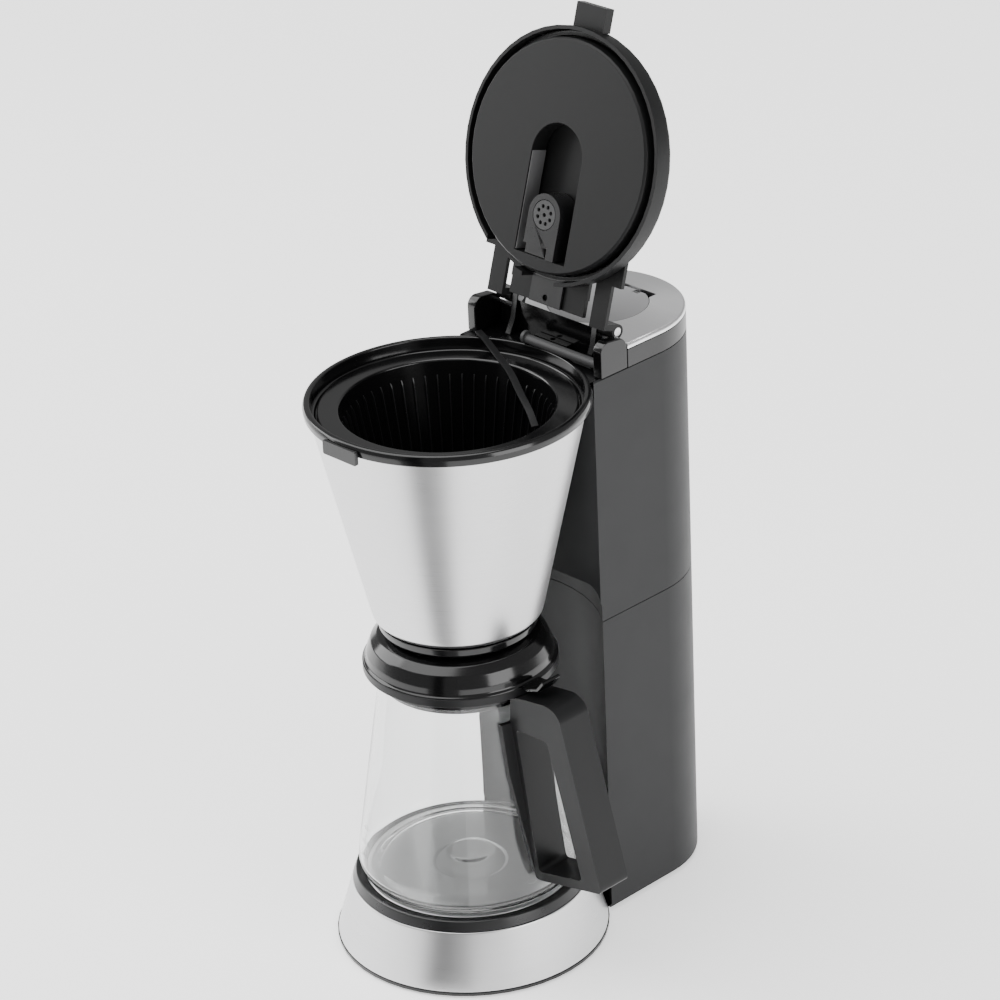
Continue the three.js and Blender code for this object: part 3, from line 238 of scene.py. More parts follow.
def brushed_steel(name, colour, rough=0.27, around=True):
    """Steel with fine marks that run round the brew axis, or along X on flat pieces."""
    look = bpy.context.scene.coffee_finish
    colour = tuple(colour)
    f = Finish(name, Metallic=1.0)
    f.set("Anisotropic", 0.55)
    at = f.place()
    split = f.tree.nodes.new("ShaderNodeSeparateXYZ")
    f.tree.links.new(at.socket, split.inputs[0])
    x, y, z = (Wire(f, split.outputs[i]) for i in range(3))
    if around:
        angle = f.node("ShaderNodeMath", {"operation": "ARCTAN2"}, y, x)
        along = f.node("ShaderNodeCombineXYZ", None, angle * 1.6, 0.0, z * 2600.0)
        broad = f.node("ShaderNodeCombineXYZ", None, angle * 0.8, 3.0, z * 420.0)
    else:
        along = f.node("ShaderNodeCombineXYZ", None, x * 12.0, y * 2600.0, z * 12.0)
        broad = f.node("ShaderNodeCombineXYZ", None, x * 6.0, y * 420.0, z * 6.0)
    marks = f.blotch(1.0, 3.0, 0.6, along)
    bands = f.blotch(1.0, 2.0, 0.5, broad)
    f.set("Base Color", f.mix(marks * 0.6 + bands * 0.4, shade(colour, 0.93), shade(colour, 1.06)))
    f.set("Roughness", (rough - 0.05) + 0.10 * marks + 0.04 * f.blotch(12, 2.0))
    f.bump(marks, look.brush_depth, 0.00003)
    return f.material


def ringed_metal(name, colour, rough=0.34):
    """Turned plate with faint rings round the brew axis."""
    f = Finish(name, Metallic=0.85)
    at = f.place()
    flat = f.node("ShaderNodeVectorMath", {"operation": "MULTIPLY"}, at, (1.0, 1.0, 0.0))
    radius = f.node("ShaderNodeVectorMath", {"operation": "LENGTH"}, flat, out="Value")
    rings = f.blotch(1.0, 2.0, 0.6, f.node("ShaderNodeCombineXYZ", None, radius * 1400.0, 0.0, 0.0))
    f.set("Base Color", f.mix(rings, shade(colour, 0.9), shade(colour, 1.08)))
    f.set("Roughness", (rough - 0.04) + 0.09 * rings)
    f.bump(rings, 0.2, 0.00005)
    return f.material


def clear_glass(name="carafe glass"):
    f = Finish(name, Base_Color=(0.985, 0.992, 0.99), IOR=1.47)
    f.set("Transmission Weight", 1.0)
    f.set("Roughness", 0.012 * f.blotch(30, 2.0))
    f.bump(f.blotch(38, 1.0), 0.05, 0.0004)
    return f.material


def milky(name, colour, rough=0.4):
    f = Finish(name, IOR=1.42)
    f.set("Base Color", f.mix(f.blotch(60, 3.0), shade(colour, 0.85), shade(colour, 1.08)))
    f.set("Roughness", rough + 0.12 * f.blotch(160, 2.0))
    f.bump(f.blotch(700, 1.0), 0.15, 0.0001)
    return f.material


MATERIALS = {}


def material(name):
    """Finishes are made once and shared."""
    look = bpy.context.scene.coffee_finish
    makers = {
        "gloss": lambda: gloss_black(),
        "soft gloss": lambda: gloss_black("soft gloss black", shade(look.gloss_black, 2.4), 0.24),
        "tower": lambda: satin_plastic("textured tower grey", look.tower_grey),
        "handle": lambda: satin_plastic("handle grey", shade(look.tower_grey, 0.55), 0.30, 0.2),
        "lid": lambda: satin_plastic("satin lid grey", look.lid_grey, 0.40, 0.12),
        "flap": lambda: satin_plastic("flap grey", look.flap_grey, 0.42, 0.12),
        "bar": lambda: satin_plastic("bar grey", (0.055, 0.055, 0.056), 0.34, 0.1),
        # Lighter grey for the left wall of the lid's recess: a painted highlight standing in for the light that falls
        # on that side
        "painted_highlight_flank": lambda: satin_plastic("channel side painted highlight grey", (0.13, 0.13, 0.132), 0.30, 0.08),
        "steel": lambda: brushed_steel("brushed steel", look.steel),
        "bright steel": lambda: brushed_steel("bright satin steel", shade(look.steel, 1.25), 0.30, False),
        "plate": lambda: ringed_metal("ringed plate", (0.62, 0.62, 0.625)),
        "glass": lambda: clear_glass(),
        "rubber": lambda: satin_plastic("rubber", (0.018, 0.018, 0.018), 0.7, 0.5),
        "silicone": lambda: milky("silicone", (0.6, 0.59, 0.56)),
        "tank": lambda: milky("smoky plastic", (0.5, 0.52, 0.53), 0.2),
        "print": lambda: milky("white print", (0.85, 0.85, 0.85), 0.5),
        "small steel": lambda: brushed_steel("small steel parts", shade(look.steel, 0.9), 0.3, False),
        "aluminium": lambda: brushed_steel("drawn aluminium", (0.68, 0.68, 0.7), 0.35, False),
        "board": lambda: satin_plastic("circuit board green", (0.02, 0.12, 0.05), 0.35, 0.1),
    }
    if name not in MATERIALS:
        MATERIALS[name] = makers[name]()
    return MATERIALS[name]


# ---------------------------------------------------------------- mesh helpers, in millimetres about the brew axis

def finish_piece(mesh, name, look, body, replaces=(), turn=False, smooth=32):
    """Links a mesh as a piece, puts it in the row frame and ties it to its body."""
    piece = bpy.data.objects.new(name, mesh)
    bpy.context.scene.collection.objects.link(piece)
    mesh.materials.append(material(look))
    if turn:
        mesh.transform(Matrix.Translation(HINGE) @ Matrix.Rotation(-LID_TURN, 4, "X") @ Matrix.Translation(-HINGE))
    if "custom_normal" in mesh.attributes:
        mesh.attributes.remove(mesh.attributes["custom_normal"])
    mesh.set_sharp_from_angle(angle=math.radians(smooth))
    mesh.polygons.foreach_set("use_smooth", [True] * len(mesh.polygons))
    weighted = piece.modifiers.new("weighted normals", "WEIGHTED_NORMAL")
    weighted.keep_sharp = True
    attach(piece, body)
    if replaces:
        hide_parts(*replaces)
    return piece


def to_mesh(name, bm, shift=True):
    bmesh.ops.recalc_face_normals(bm, faces=bm.faces)
    for vertex in bm.verts:
        vertex.co *= MM
        if shift:
            vertex.co += AXIS
    mesh = bpy.data.meshes.new(name)
    bm.to_mesh(mesh)
    bm.free()
    return mesh


def rounded(points, radius, steps=3):
    """A closed outline with every corner off the axis rounded."""
    out = []
    count = len(points)
    for i, point in enumerate(points):
        here, before, after = Vector(point), Vector(points[i - 1]), Vector(points[(i + 1) % count])
        a, b = before - here, after - here
        if point[0] < 1e-6 or a.length < 1e-6 or b.length < 1e-6 or abs(a.angle(b) - math.pi) < 0.12:
            out.append(tuple(here))
            continue
        reach = min(radius, a.length * 0.42, b.length * 0.42)
        p, q = here + a.normalized() * reach, here + b.normalized() * reach
        for k in range(steps + 1):
            t = k / steps
            out.append(tuple(p * (1 - t) ** 2 + here * 2 * t * (1 - t) + q * t * t))
    return out


def turned(name, outline, radius=0.4, sides=None, centre=(0, 0)):
    """A closed outline of (radius, height) turned about the vertical through centre."""
    sides = sides or bpy.context.scene.coffee_sizes.turned_sides
    outline = rounded(outline, radius)
    bm = bmesh.new()
    rings = []
    for r, z in outline:
        if r < 1e-6:
            rings.append([bm.verts.new((centre[0], centre[1], z))] * sides)
            continue
        rings.append([bm.verts.new((centre[0] + r * math.cos(2 * math.pi * k / sides),
                                    centre[1] + r * math.sin(2 * math.pi * k / sides), z)) for k in range(sides)])
    for i, ring in enumerate(rings):
        other = rings[(i + 1) % len(rings)]
        for k in range(sides):
            corners = list(dict.fromkeys([ring[k], ring[(k + 1) % sides], other[(k + 1) % sides], other[k]]))
            if len(corners) > 2:
                bm.faces.new(corners)
    return to_mesh(name, bm)


def tower_outline(front, half, back, inset=0.0, steps=48):
    """Plan of the tower: straight front and sides, half-round back."""
    w = half - inset
    points = [(-w, front + inset), (w, front + inset)]
    points += [(w * math.cos(math.pi * k / steps), back + w * math.sin(math.pi * k / steps)) for k in range(steps + 1)]
    return points


def circle(radius, x=0.0, y=0.0, steps=96):
    return [(x + radius * math.cos(2 * math.pi * k / steps), y + radius * math.sin(2 * math.pi * k / steps))
            for k in range(steps)]


def slab(name, loops, z0, z1, bevel=0.0):
    """A plate with holes: the first loop is its outline, the others are holes."""
    bm = bmesh.new()
    flat = [point for loop in loops for point in loop]
    low = [bm.verts.new((x, y, z0)) for x, y in flat]
    high = [bm.verts.new((x, y, z1)) for x, y in flat]
    for a, b, c in tessellate_polygon([[Vector((x, y, 0)) for x, y in loop] for loop in loops]):
        bm.faces.new((low[a], low[b], low[c]))
        bm.faces.new((high[a], high[b], high[c]))
    start = 0
    for loop in loops:
        for k in range(len(loop)):
            i, j = start + k, start + (k + 1) % len(loop)
            bm.faces.new((low[i], low[j], high[j], high[i]))
        start += len(loop)
    bmesh.ops.recalc_face_normals(bm, faces=bm.faces)
    if bevel:
        bmesh.ops.dissolve_limit(bm, angle_limit=math.radians(1), verts=bm.verts, edges=bm.edges)
        sharp = [e for e in bm.edges if len(e.link_faces) == 2 and e.calc_face_angle(0) > math.radians(40)]
        bmesh.ops.bevel(bm, geom=sharp, offset=bevel, segments=3, profile=0.5, affect="EDGES", clamp_overlap=True)
    return to_mesh(name, bm)


def block(name, low, high, bevel=0.5):
    bm = bmesh.new()
    bmesh.ops.create_cube(bm, size=1)
    for v in bm.verts:
        v.co = Vector([low[i] if v.co[i] < 0 else high[i] for i in range(3)])
    bmesh.ops.bevel(bm, geom=list(bm.edges), offset=bevel, segments=3, profile=0.5, affect="EDGES", clamp_overlap=True)
    return to_mesh(name, bm)


def bar(name, radius, x0, x1, y, z, sides=40, bevel=0.5):
    outline = rounded([(0, x0), (radius, x0), (radius, x1), (0, x1)], bevel)
    bm = bmesh.new()
    rings = []
    for r, x in outline:
        if r < 1e-6:
            rings.append([bm.verts.new((x, y, z))] * sides)
        else:
            rings.append([bm.verts.new((x, y + r * math.cos(2 * math.pi * k / sides),
                                        z + r * math.sin(2 * math.pi * k / sides))) for k in range(sides)])
    for i in range(len(rings) - 1):
        for k in range(sides):
            corners = list(dict.fromkeys([rings[i][k], rings[i][(k + 1) % sides], rings[i + 1][(k + 1) % sides],
                                          rings[i + 1][k]]))
            if len(corners) > 2:
                bm.faces.new(corners)
    return to_mesh(name, bm)


def refined(node, look, bevel=0.0, smooth=32, name=None):
    """The frame's own solid with welded corners, eased edges and a proper finish."""
    source = frame["nodes"][node]
    bm = bmesh.new()
    bm.from_mesh(source.data)
    bmesh.ops.remove_doubles(bm, verts=bm.verts, dist=0.00001)
    bmesh.ops.dissolve_limit(bm, angle_limit=math.radians(0.6), verts=bm.verts, edges=bm.edges)
    if bevel:
        sharp = [e for e in bm.edges if len(e.link_faces) == 2 and e.calc_face_angle(0) > math.radians(38)]
        bmesh.ops.bevel(bm, geom=sharp, offset=bevel * MM, segments=2, profile=0.5, affect="EDGES",
                        clamp_overlap=True)
    mesh = bpy.data.meshes.new(name or node + "_finished")
    bm.to_mesh(mesh)
    bm.free()
    body = source["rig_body"]
    return finish_piece(mesh, name or node + "_finished", look, body, (node,), smooth=smooth)


def zof(node):
    low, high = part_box(node)
    return low.z / MM, high.z / MM


# ---------------------------------------------------------------- operators

class COFFEE_OT_base(bpy.types.Operator):
    """Base: black edge, steel ring, collar, warming plate and feet"""
    bl_idname = "coffee.base"
    bl_label = "Base"

    def execute(self, context):
        z0, z1 = zof("base_ring")
        low = (RING_HIGH.x - RING_LOW.x) / 2 / MM
        high = 69.3
        finish_piece(turned("base_steel", [(low, z0), (high + 0.25, z1 - 0.6), (high - 0.1, z1), (high - 0.8, z1),
                                           (low - 0.8, z0)], 0.3),
                     "base_steel", "steel", "housing", ("base_ring",))
        c0, c1 = zof("plate_collar")
        finish_piece(turned("collar", [(high - 5, c0), (high - 1.6, c0), (high - 1.6, z1 + 0.4), (high - 0.2, z1 + 0.4),
                                       (high - 2.2, c1 - 0.5), (high - 3.4, c1), (61.9, c1 - 0.5), (61.9, c0 + 7),
                                       (58.5, c0 + 7), (58.5, c0 + 5), (62.9, c0 + 5)], 0.5),
                     "collar", "soft gloss", "housing", ("plate_collar",))
        p0, p1 = zof("warming_plate")
        finish_piece(turned("warming_disc", [(0, p0), (61.5, p0), (61.5, p1 - 0.3), (60.9, p1), (57.5, p1),
                                             (56.6, p1 - 0.4), (22, p1 - 0.4), (20, p1 - 0.9), (0, p1 - 0.9)], 0.3),
                     "warming_disc", "plate", "housing", ("warming_plate",))
        refined("base_plate", "gloss", 0.3)
        for k in range(1, 6):
            refined(f"foot_{k}", "rubber")
        for k in range(1, 4):
            refined(f"base_screw_{k}", "small steel")
        return {"FINISHED"}


class COFFEE_OT_tower(bpy.types.Operator):
    """Tower: two grey covers, black band, steel top, filling hole and its flap"""
    bl_idname = "coffee.tower"
    bl_label = "Tower"

    def execute(self, context):
        refined("tower_lower", "tower", 0.35)
        refined("tower_upper", "tower", 0.35)
        low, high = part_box("top_band")
        half = (high.x - low.x) / 2 / MM
        front = (low.y - AXIS.y) / MM
        back = (high.y - AXIS.y) / MM - half
        b0, b1 = zof("top_band")
        finish_piece(slab("band", [tower_outline(front, half, back), tower_outline(front, half, back, 2.2)[::-1]],
                          b0, b1, 0.35), "band", "soft gloss", "housing", ("top_band",))
        t0, t1 = zof("top_cover")
        hole_low, hole_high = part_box("fill_flap")
        r = (hole_high.x - hole_low.x) / 2 / MM
        y = (hole_low.y - AXIS.y) / MM + r
        self.cover(front, half, back, t0, t1, r + 0.4, y)
        self.flap(r, y, t1)
        refined("fill_neck", "gloss")
        refined("flap_pin", "small steel")
        refined("cord_gland", "rubber", 0.3)
        refined("switch_frame", "gloss", 0.3)
        refined("switch_rocker", "soft gloss", 0.4)
        return {"FINISHED"}

    def flap(self, r, y, top):
        """Round flap with a straight rear edge, two bays for the ears and a knuckle on the pin."""
        pin = Vector(JOINTS["flap_hinge"]["pos_m"])
        rear, lug, bay = (pin.y - AXIS.y) / MM, 4.5, 8.9
        edge = math.asin((rear - y) / r)
        arc = [math.pi - edge + (math.pi + 2 * edge) * k / 90 for k in range(91)]
        outline = [(r * math.cos(a), y + r * math.sin(a)) for a in arc]
        outline += [(bay, rear), (bay, rear - 2.9), (lug, rear - 2.9), (lug, rear), (-lug, rear), (-lug, rear - 2.9),
                    (-bay, rear - 2.9), (-bay, rear)]
        finish_piece(slab("flap_disc", [outline], top - 2.4, top, 0.35), "flap_disc", "flap", "flap",
                     ("fill_flap",))
        finish_piece(bar("flap_knuckle", 2.3, -lug, lug, rear, pin.z / MM), "flap_knuckle", "flap", "flap")

    def cover(self, front, half, back, z0, z1, r, y):
        """Steel top with a rolled edge, a round hole and a notch behind it."""
        wide, deep = 18.0, (JOINTS["flap_hinge"]["pos_m"][1] - AXIS.y) / MM + 3.2
        edge = math.acos(wide / r)
        arc = [math.pi - edge + (math.pi + 2 * edge) * k / 90 for k in range(91)]
        notch = [(r * math.cos(a), y + r * math.sin(a)) for a in arc] + [(wide, deep), (-wide, deep)]
        bm = bmesh.new()
        steps = [(0.0, z0), (0.0, z1 - 1.9), (0.25, z1 - 1.0), (0.8, z1 - 0.35), (1.7, z1)]
        rings = [[bm.verts.new((px, py, z)) for px, py in tower_outline(front, half, back, inset)]
                 for inset, z in steps]
        for a, b in zip(rings, rings[1:]):
            for k in range(len(a)):
                bm.faces.new((a[k], a[(k + 1) % len(a)], b[(k + 1) % len(b)], b[k]))
        top_hole = [bm.verts.new((px, py, z1)) for px, py in notch]
        low_hole = [bm.verts.new((px, py, z0)) for px, py in notch]
        for k in range(len(notch)):
            bm.faces.new((top_hole[k], top_hole[(k + 1) % len(notch)], low_hole[(k + 1) % len(notch)], low_hole[k]))
        for outer, inner in ((rings[-1], top_hole), (rings[0], low_hole)):
            flat = outer + inner
            for a, b, c in tessellate_polygon([[Vector((v.co.x, v.co.y, 0)) for v in outer],
                                               [Vector((v.co.x, v.co.y, 0)) for v in inner]]):
                bm.faces.new((flat[a], flat[b], flat[c]))
        finish_piece(to_mesh("steel_top", bm), "steel_top", "bright steel", "housing", ("top_cover",),
                     smooth=40)


class COFFEE_OT_cone(bpy.types.Operator):
    """Filter cone: steel skin, black bowl with its rim and deck, outlet ring and latch plate"""
    bl_idname = "coffee.cone"
    bl_label = "Cone"

    def execute(self, context):
        z0, z1 = zof("cone_shell")
        top, bottom = 77.2, 49.8
        finish_piece(turned("cone_steel", [(top, z1), (bottom, z0 + 8), (bottom - 1.2, z0 + 3.5),
                                           (bottom - 3.6, z0 + 0.9),
                                           (bottom - 5.8, z0), (bottom - 5.8, z0 + 0.8), (bottom - 3.9, z0 + 1.7),
                                           (bottom - 1.9, z0 + 3.9), (bottom - 0.8, z0 + 8.2), (top - 0.8, z1)], 0.8),
                     "cone_steel", "steel", "housing", ("cone_shell",), smooth=40)
        b0, b1 = zof("bowl")
        finish_piece(turned("bowl_turned", [
            (77.4, b1 - 6.9), (80.0, b1 - 6.4), (80.4, b1 - 2.9), (79.5, b1 - 0.5), (78.0, b1), (76.2, b1 - 0.2),
            (74.8, b1 - 8.4), (70.0, b1 - 8.8), (69.4, b1 - 10.4), (44.2, b0 + 3.6), (42.8, b0 + 1.8), (12, b0 + 1.8),
            (12, b0), (43.4, b0), (46.2, b0 + 2.6), (71.6, b1 - 10.4), (74.2, b1 - 7.0)], 0.7),
            "bowl_turned", "gloss", "housing", ("bowl",), smooth=36)
        t_low, t_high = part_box("tower_upper")
        half = (t_high.x - t_low.x) / 2 / MM
        back = (t_high.y - AXIS.y) / MM - half
        deck_z = zof("tower_upper")[1]
        ring = [(77.6 * math.cos(a), 77.6 * math.sin(a)) for a in
                [math.radians(49.6 + k * (130.4 - 49.6) / 60) for k in range(61)]]
        outline = [p for p in tower_outline(61.5, half, back, 2.6) if p[1] > 62.5]
        right = [p for p in outline if p[0] > 0 or p[1] > back]
        deck = [(half - 2.6, ring[0][1])] + right + [(-half + 2.6, ring[-1][1])] + ring[::-1]
        f_low, f_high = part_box("fill_flap")
        r = (f_high.x - f_low.x) / 2 / MM
        hole = circle(r - 1.5, 0, (f_low.y - AXIS.y) / MM + r, 64)
        finish_piece(slab("deck", [deck, hole[::-1]], deck_z - 2.5, deck_z), "deck", "gloss", "housing")
        o0, o1 = zof("outlet_ring")
        finish_piece(turned("outlet", [(11.5, o0 + 2.4), (36, o0 + 2), (39.5, o0), (42.6, o0 + 0.4), (45.4, o0 + 2.8),
                                       (46, o1), (43, o1), (42, o0 + 4), (11.5, o0 + 4.4)], 0.6),
                     "outlet", "gloss", "housing", ("outlet_ring",), smooth=36)
        refined("latch_plate", "soft gloss", 0.35)
        return {"FINISHED"}


class COFFEE_OT_insert(bpy.types.Operator):
    """Filter insert: ribbed cone, flange, grip arm, drip valve and its cage"""
    bl_idname = "coffee.insert"
    bl_label = "Insert"

    def execute(self, context):
        sizes = context.scene.coffee_sizes
        f0, f1 = zof("filter_insert")
        floor = f0 + 8.4
        finish_piece(turned("insert_body", [
            (5.6, floor), (5.6, floor - 1.6), (8, f0), (9.6, f0), (9.6, floor - 1.9), (38.6, floor - 1.2),
            (62.3, f1 - 3.6), (63.5, f1 - 1.6), (72.4, f1 - 1.6), (72.4, f1 - 0.4), (71.8, f1), (61.1, f1),
            (60.3, f1 - 0.7), (36.6, floor + 1.8), (35, floor)], 0.45),
            "insert_body", "gloss", "insert", ("filter_insert",), smooth=36)
        self.ribs(sizes, floor, f1)
        refined("insert_grip", "handle", 0.2)
        refined("valve_cage", "gloss", 0.2)
        refined("drip_valve", "bar")
        refined("valve_seal", "silicone")
        spring = refined("valve_spring", "small steel", smooth=80)
        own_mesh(spring)
        return {"FINISHED"}

    def ribs(self, sizes, floor, top):
        """Upright ribs that hold the paper off the wall."""
        bm = bmesh.new()
        count = sizes.insert_ribs
        z0, z1 = floor + 5, top - 8.5
        for k in range(count):
            angle = 2 * math.pi * (k + 0.5) / count
            out, side = Vector((math.cos(angle), math.sin(angle), 0)), Vector((-math.sin(angle), math.cos(angle), 0))
            rows = []
            for t in (0.0, 0.03, 0.5, 0.97, 1.0):
                z = z0 + (z1 - z0) * t
                wall = 36.6 + (z - floor - 1.8) * (60.3 - 36.6) / (top - 0.7 - floor - 1.8)
                depth = sizes.rib_depth * (0.25 if t in (0.0, 1.0) else 1.0)
                rows.append([bm.verts.new(out * (wall + a) + side * b + Vector((0, 0, z)))
                             for a, b in ((0.3, -0.55), (-depth, -0.3), (-depth, 0.3), (0.3, 0.55))])
            for a, b in zip(rows, rows[1:]):
                for i in range(4):
                    bm.faces.new((a[i], a[(i + 1) % 4], b[(i + 1) % 4], b[i]))
            bm.faces.new(rows[0])
            bm.faces.new(rows[-1][::-1])
        finish_piece(to_mesh("insert_ribs", bm), "insert_ribs", "soft gloss", "insert", smooth=50)


class COFFEE_OT_carafe(bpy.types.Operator):
    """Carafe: glass, neck band, lid, thumb lever, handle and printed cup marks"""
    bl_idname = "coffee.carafe"
    bl_label = "Carafe"

    def execute(self, context):
        z, top = zof("carafe_glass")
        shoulder = top - 13
        wall = lambda h: 64.2 - (h - z - 16) * (64.2 - 48.2) / (shoulder - z - 16)
        finish_piece(turned("carafe_body", [
            (0, z + 3.2), (46, z + 2.9), (50.5, z + 2.2), (55, z), (60, z + 0.6), (63.5, z + 3.2), (65, z + 8),
            (64.2, z + 16), (48.2, shoulder), (47, shoulder + 5), (47, top), (45, top), (45, shoulder + 4.6),
            (46.2, shoulder - 0.6), (62.2, z + 15.6), (62.9, z + 8.2), (61, z + 5), (57.5, z + 3.4), (51, z + 5.4),
            (14, z + 6.2), (11, z + 7.4), (0, z + 7.6)], 1.6, 160),
            "carafe_body", "glass", "carafe", ("carafe_glass",), smooth=60)
        c0, c1 = zof("carafe_collar")
        finish_piece(turned("neck_band", [(47.4, c0), (50, c0), (50, c1), (47.4, c1)], 0.5),
                     "neck_band", "gloss", "carafe", ("carafe_collar",))
        l0, l1 = zof("carafe_lid")
        e = l0 + 10
        finish_piece(turned("carafe_cover", [
            (42.6, l0), (44.4, l0), (44.4, e), (55.5, e), (55.5, e + 5.3), (54.0, e + 6.6), (53.4, e + 10.4),
            (50.8, l1 - 6), (46.5, l1 - 1.5), (42, l1), (17, l1), (14.5, l1 - 2.4), (5, l1 - 3.4), (5, l1 - 5.4),
            (15, l1 - 4.4), (18, l1 - 2), (41.5, l1 - 2), (45.2, l1 - 3.2), (49, l1 - 7.2), (51.4, e + 10),
            (51.6, e + 2.1), (42.6, e + 2.1)], 0.8),
            "carafe_cover", "gloss", "carafe", ("carafe_lid",), smooth=36)
        finish_piece(turned("cover_edge", [(55.5, e + 0.2), (55.9, e + 0.5), (55.9, e + 4.9), (55.5, e + 5.2)], 0.15),
                     "cover_edge", "handle", "carafe")
        refined("carafe_lid_lever", "gloss", 0.7)
        refined("carafe_handle", "handle", 1.0, smooth=40)
        self.marks(z, wall)
        return {"FINISHED"}

    def marks(self, z, wall):
        """Cup marks: short strokes on the inside of the front left of the glass."""
        bm = bmesh.new()
        for level, width in ((z + 34, 7.0), (z + 25, 9.0), (z + 16.5, 7.0)):
            for k in range(6):
                pair = []
                for j in (k, k + 1):
                    angle = math.radians(-118) + (j / 6 - 0.5) * width / wall(level)
                    for dz in (-0.45, 0.45):
                        r = wall(level + dz) + 0.12
                        pair.append(bm.verts.new((r * math.cos(angle), r * math.sin(angle), level + dz)))
                bm.faces.new((pair[0], pair[2], pair[3], pair[1]))
        bmesh.ops.remove_doubles(bm, verts=bm.verts, dist=0.001)
        solid = bmesh.ops.extrude_face_region(bm, geom=list(bm.faces))
        for v in [g for g in solid["geom"] if isinstance(g, bmesh.types.BMVert)]:
            flat = Vector((v.co.x, v.co.y, 0))
            v.co += flat.normalized() * 0.1
        finish_piece(to_mesh("cup_marks", bm), "cup_marks", "print", "carafe")


class COFFEE_OT_lid(bpy.types.Operator):
    """Brew lid: shell with its arms, liner with a recess, water channel, spray plate and seal"""
    bl_idname = "coffee.lid"
    bl_label = "Lid"

    def execute(self, context):
        z, top = 341.5, 354.5                                # closed lid: lower edge and top, mm
        refined("lid_shell", "lid", 0.5, smooth=40)
        refined("lid_liner", "lid", 0.5, smooth=40)
        refined("water_channel", "soft gloss", 0.5, smooth=40)
        refined("spray_plate", "bar", 0.2)
        # Thin strip over the recess's left wall in a lighter grey: painted highlight for the lit side of the recess
        finish_piece(block("recess_side_painted_highlight", (-19.2, 1, z - 1.4), (-18.7, 57.4, top - 3.4), 0.2), "recess_side_painted_highlight", "painted_highlight_flank",
                     "lid", turn=True)
        finish_piece(turned("lid_seal", [(66.6, z + 5.6), (69.8, z + 5.6), (69.8, z + 8.4), (66.6, z + 8.4)], 0.8),
                     "lid_seal", "gloss", "lid", turn=True)
        return {"FINISHED"}


class COFFEE_OT_hinge(bpy.types.Operator):
    """Hinge: bracket, two cheeks, pins, rest bar and the riser's outlet"""
    bl_idname = "coffee.hinge"
    bl_label = "Hinge"

    def execute(self, context):
        refined("hinge_bracket", "gloss", 0.35)
        refined("hinge_ear_right", "gloss", 0.8, smooth=40)
        refined("hinge_ear_left", "gloss", 0.8, smooth=40)
        refined("lid_pin_right", "small steel")
        refined("lid_pin_left", "small steel")
        refined("hinge_bar", "bar", 0.4, smooth=40)
        refined("riser_outlet", "gloss", 0.3)
        return {"FINISHED"}


class COFFEE_OT_inside(bpy.types.Operator):
    """Pieces inside the housing: heater, hoses, tank, valve, riser and timer board"""
    bl_idname = "coffee.inside"
    bl_label = "Inside"

    def execute(self, context):
        for node, look, slot in (
                ("heating_tube", "aluminium", "aluminium"), ("heater_clip", "small steel", "steel_part"),
                ("thermostat", "tank", "clear_plastic"), ("thermal_fuse", "small steel", "steel_part"),
                ("water_tank", "tank", "clear_plastic"), ("check_valve", "silicone", "silicone"),
                ("inlet_hose", "silicone", "silicone"), ("riser_hose", "silicone", "silicone"),
                ("riser_pipe", "tank", "clear_plastic"), ("timer_board", "board", "circuit_board")):
            refined(node, look, smooth=50)
        return {"FINISHED"}


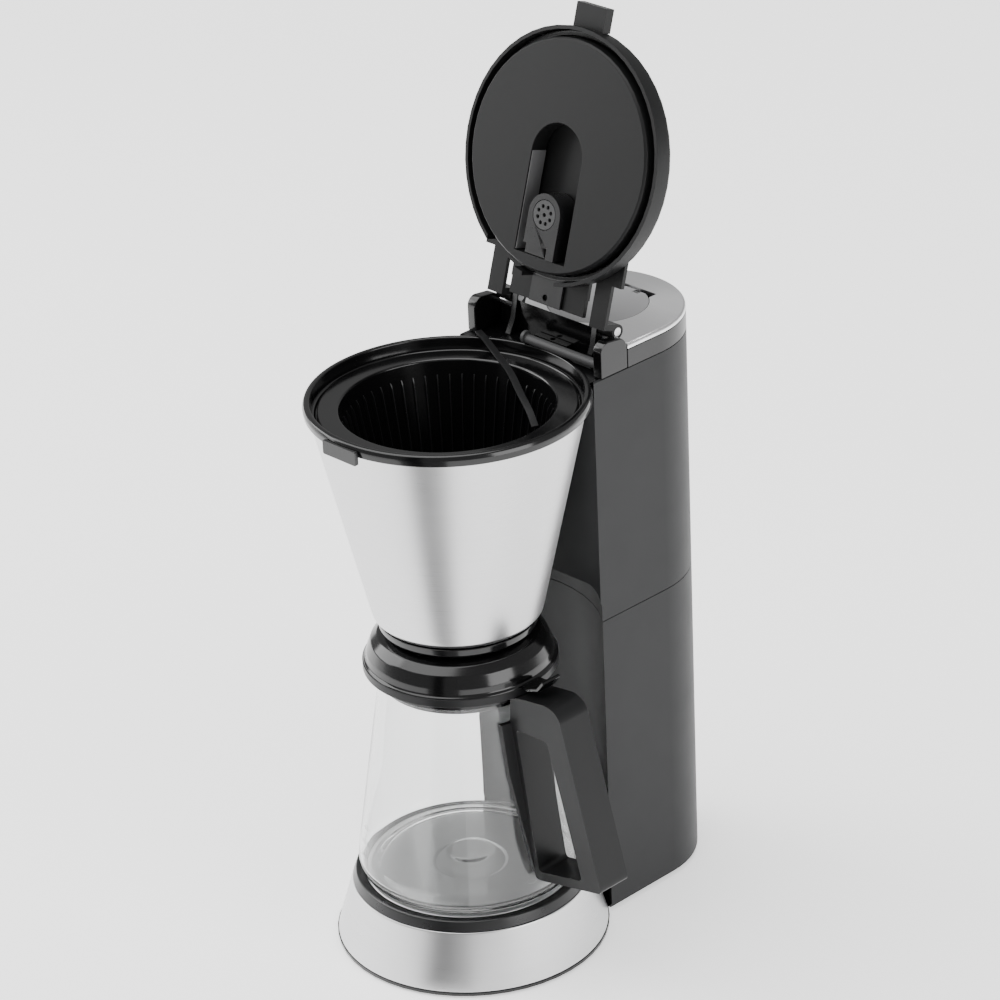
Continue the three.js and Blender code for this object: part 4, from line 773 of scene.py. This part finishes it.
class COFFEE_OT_stage(bpy.types.Operator):
    """Pale floor, soft studio lights and the camera"""
    bl_idname = "coffee.stage"
    bl_label = "Stage"

    def execute(self, context):
        self.floor()
        self.cards()
        self.lights()
        self.camera()
        return {"FINISHED"}

    def sheet(self, name, corners, look):
        """A flat four-sided stage piece."""
        bm = bmesh.new()
        bm.faces.new([bm.verts.new(corner) for corner in corners])
        mesh = bpy.data.meshes.new(name)
        bm.to_mesh(mesh)
        bm.free()
        made = bpy.data.objects.new(name, mesh)
        bpy.context.scene.collection.objects.link(made)
        mesh.materials.append(look)
        return made

    def floor(self):
        f = Finish("pale floor", Roughness=0.9)
        pale = f.mix(f.blotch(3, 2.0), (0.93, 0.93, 0.93), (0.95, 0.95, 0.95))
        f.set("Base Color", pale)
        f.set("Emission Color", pale)
        f.set("Emission Strength", 0.9)
        self.sheet("floor", [(-9, -9, 0), (9, -9, 0), (9, 9, 0), (-9, 9, 0)], f.material)

    def cards(self):
        """Dark cards seen only in reflections: they draw the upright bands in the steel."""
        tall, off_floor = Vector((0, 0, 1.3)), Vector((0, 0, 0.003))
        for name, start, end, near, level in (                  # degrees about the brew axis, m, brightness
                ("dark_card", -76, -64, 0.12, 0.004), ("grey_card", -64, -46, 0.12, 0.42),
                ("edge_card", -82, -76, 0.2, 0.4)):
            f = Finish(name, Roughness=0.9)
            f.set("Base Color", f.mix(f.blotch(5), (0, 0, 0), (0.002, 0.002, 0.002)))
            f.set("Specular IOR Level", 0.0)
            f.set("Emission Color", (level, level, level))
            f.set("Emission Strength", 1.0)
            a, b = (Vector((math.cos(math.radians(t)), math.sin(math.radians(t)), 0)) for t in (start, end))
            for part, corners in (("floor", (a * near, a, b, b * near)), ("wall", (a, a + tall, b + tall, b))):
                card = self.sheet(f"{name}_{part}", [AXIS + off_floor + c for c in corners], f.material)
                for ray in ("camera", "diffuse", "transmission", "shadow", "volume_scatter"):
                    setattr(card, "visible_" + ray, False)

    def lights(self):
        scene = bpy.context.scene
        world = bpy.data.worlds.new("studio")
        scene.world = world
        world.use_nodes = True
        world.node_tree.nodes["Background"].inputs[0].default_value = (1, 1, 1, 1)
        world.node_tree.nodes["Background"].inputs[1].default_value = 0.45
        sun = bpy.data.lights.new("sky", "SUN")
        sun.energy, sun.angle = 3.6, math.radians(70)
        overhead = bpy.data.objects.new("sky", sun)
        overhead.rotation_euler = (math.radians(12), math.radians(-14), 0)
        scene.collection.objects.link(overhead)
        for name, place, size, power in (
                ("key", (-1.5, -0.7, 0.9), 1.1, 20), ("fill", (1.7, 0.1, 0.7), 1.0, 16)):
            light = bpy.data.lights.new(name, "AREA")
            light.size, light.energy = size, power
            lamp = bpy.data.objects.new(name, light)
            lamp.location = place
            lamp.rotation_euler = (Vector((0, 0, 0.25)) - Vector(place)).to_track_quat("-Z", "Y").to_euler()
            scene.collection.objects.link(lamp)

    def camera(self):
        turn, rise, roll = math.radians(46.26), math.radians(26.43), math.radians(2.58)
        aside, height, distance = 0.02652, 0.27699, 2.28313     # aim point and distance, m
        focal_widths = 4.0872                                   # focal length over sensor width
        back = Vector((math.sin(turn) * math.cos(rise), -math.cos(turn) * math.cos(rise), math.sin(rise)))
        right = Vector((math.cos(turn), math.sin(turn), 0))
        up = back.cross(right)
        eye = AXIS + right * aside + Vector((0, 0, height)) + back * distance
        x = right * math.cos(roll) - up * math.sin(roll)
        y = right * math.sin(roll) + up * math.cos(roll)
        data = bpy.data.cameras.new("camera")
        data.sensor_width = 36
        data.lens = data.sensor_width * focal_widths
        camera = bpy.data.objects.new("camera", data)
        camera.matrix_world = Matrix.Translation(eye) @ Matrix((x, y, back)).transposed().to_4x4()
        bpy.context.scene.collection.objects.link(camera)
        bpy.context.scene.camera = camera


class COFFEE_PT_panel(bpy.types.Panel):
    bl_label = "Coffee Maker"
    bl_idname = "COFFEE_PT_panel"
    bl_space_type = "VIEW_3D"
    bl_region_type = "UI"
    bl_category = "Coffee Maker"

    def draw(self, context):
        for group in (context.scene.coffee_finish, context.scene.coffee_sizes):
            box = self.layout.box()
            for name in group.bl_rna.properties.keys():
                if name not in ("rna_type", "name"):
                    box.prop(group, name)
        for operator in STEPS:
            self.layout.operator(operator.bl_idname)


STEPS = (COFFEE_OT_stage, COFFEE_OT_base, COFFEE_OT_tower, COFFEE_OT_cone, COFFEE_OT_insert, COFFEE_OT_carafe,
         COFFEE_OT_lid, COFFEE_OT_hinge, COFFEE_OT_inside)
CLASSES = (CoffeeMakerFinish, CoffeeMakerSizes, *STEPS, COFFEE_PT_panel)


def register():
    for cls in CLASSES:
        bpy.utils.register_class(cls)
    bpy.types.Scene.coffee_finish = bpy.props.PointerProperty(type=CoffeeMakerFinish)
    bpy.types.Scene.coffee_sizes = bpy.props.PointerProperty(type=CoffeeMakerSizes)


def unregister():
    del bpy.types.Scene.coffee_sizes
    del bpy.types.Scene.coffee_finish
    for cls in reversed(CLASSES):
        bpy.utils.unregister_class(cls)


def main():
    register()
    for step in STEPS:
        group, name = step.bl_idname.split(".")
        getattr(getattr(bpy.ops, group), name)()


if __name__ == "__main__":
    main()
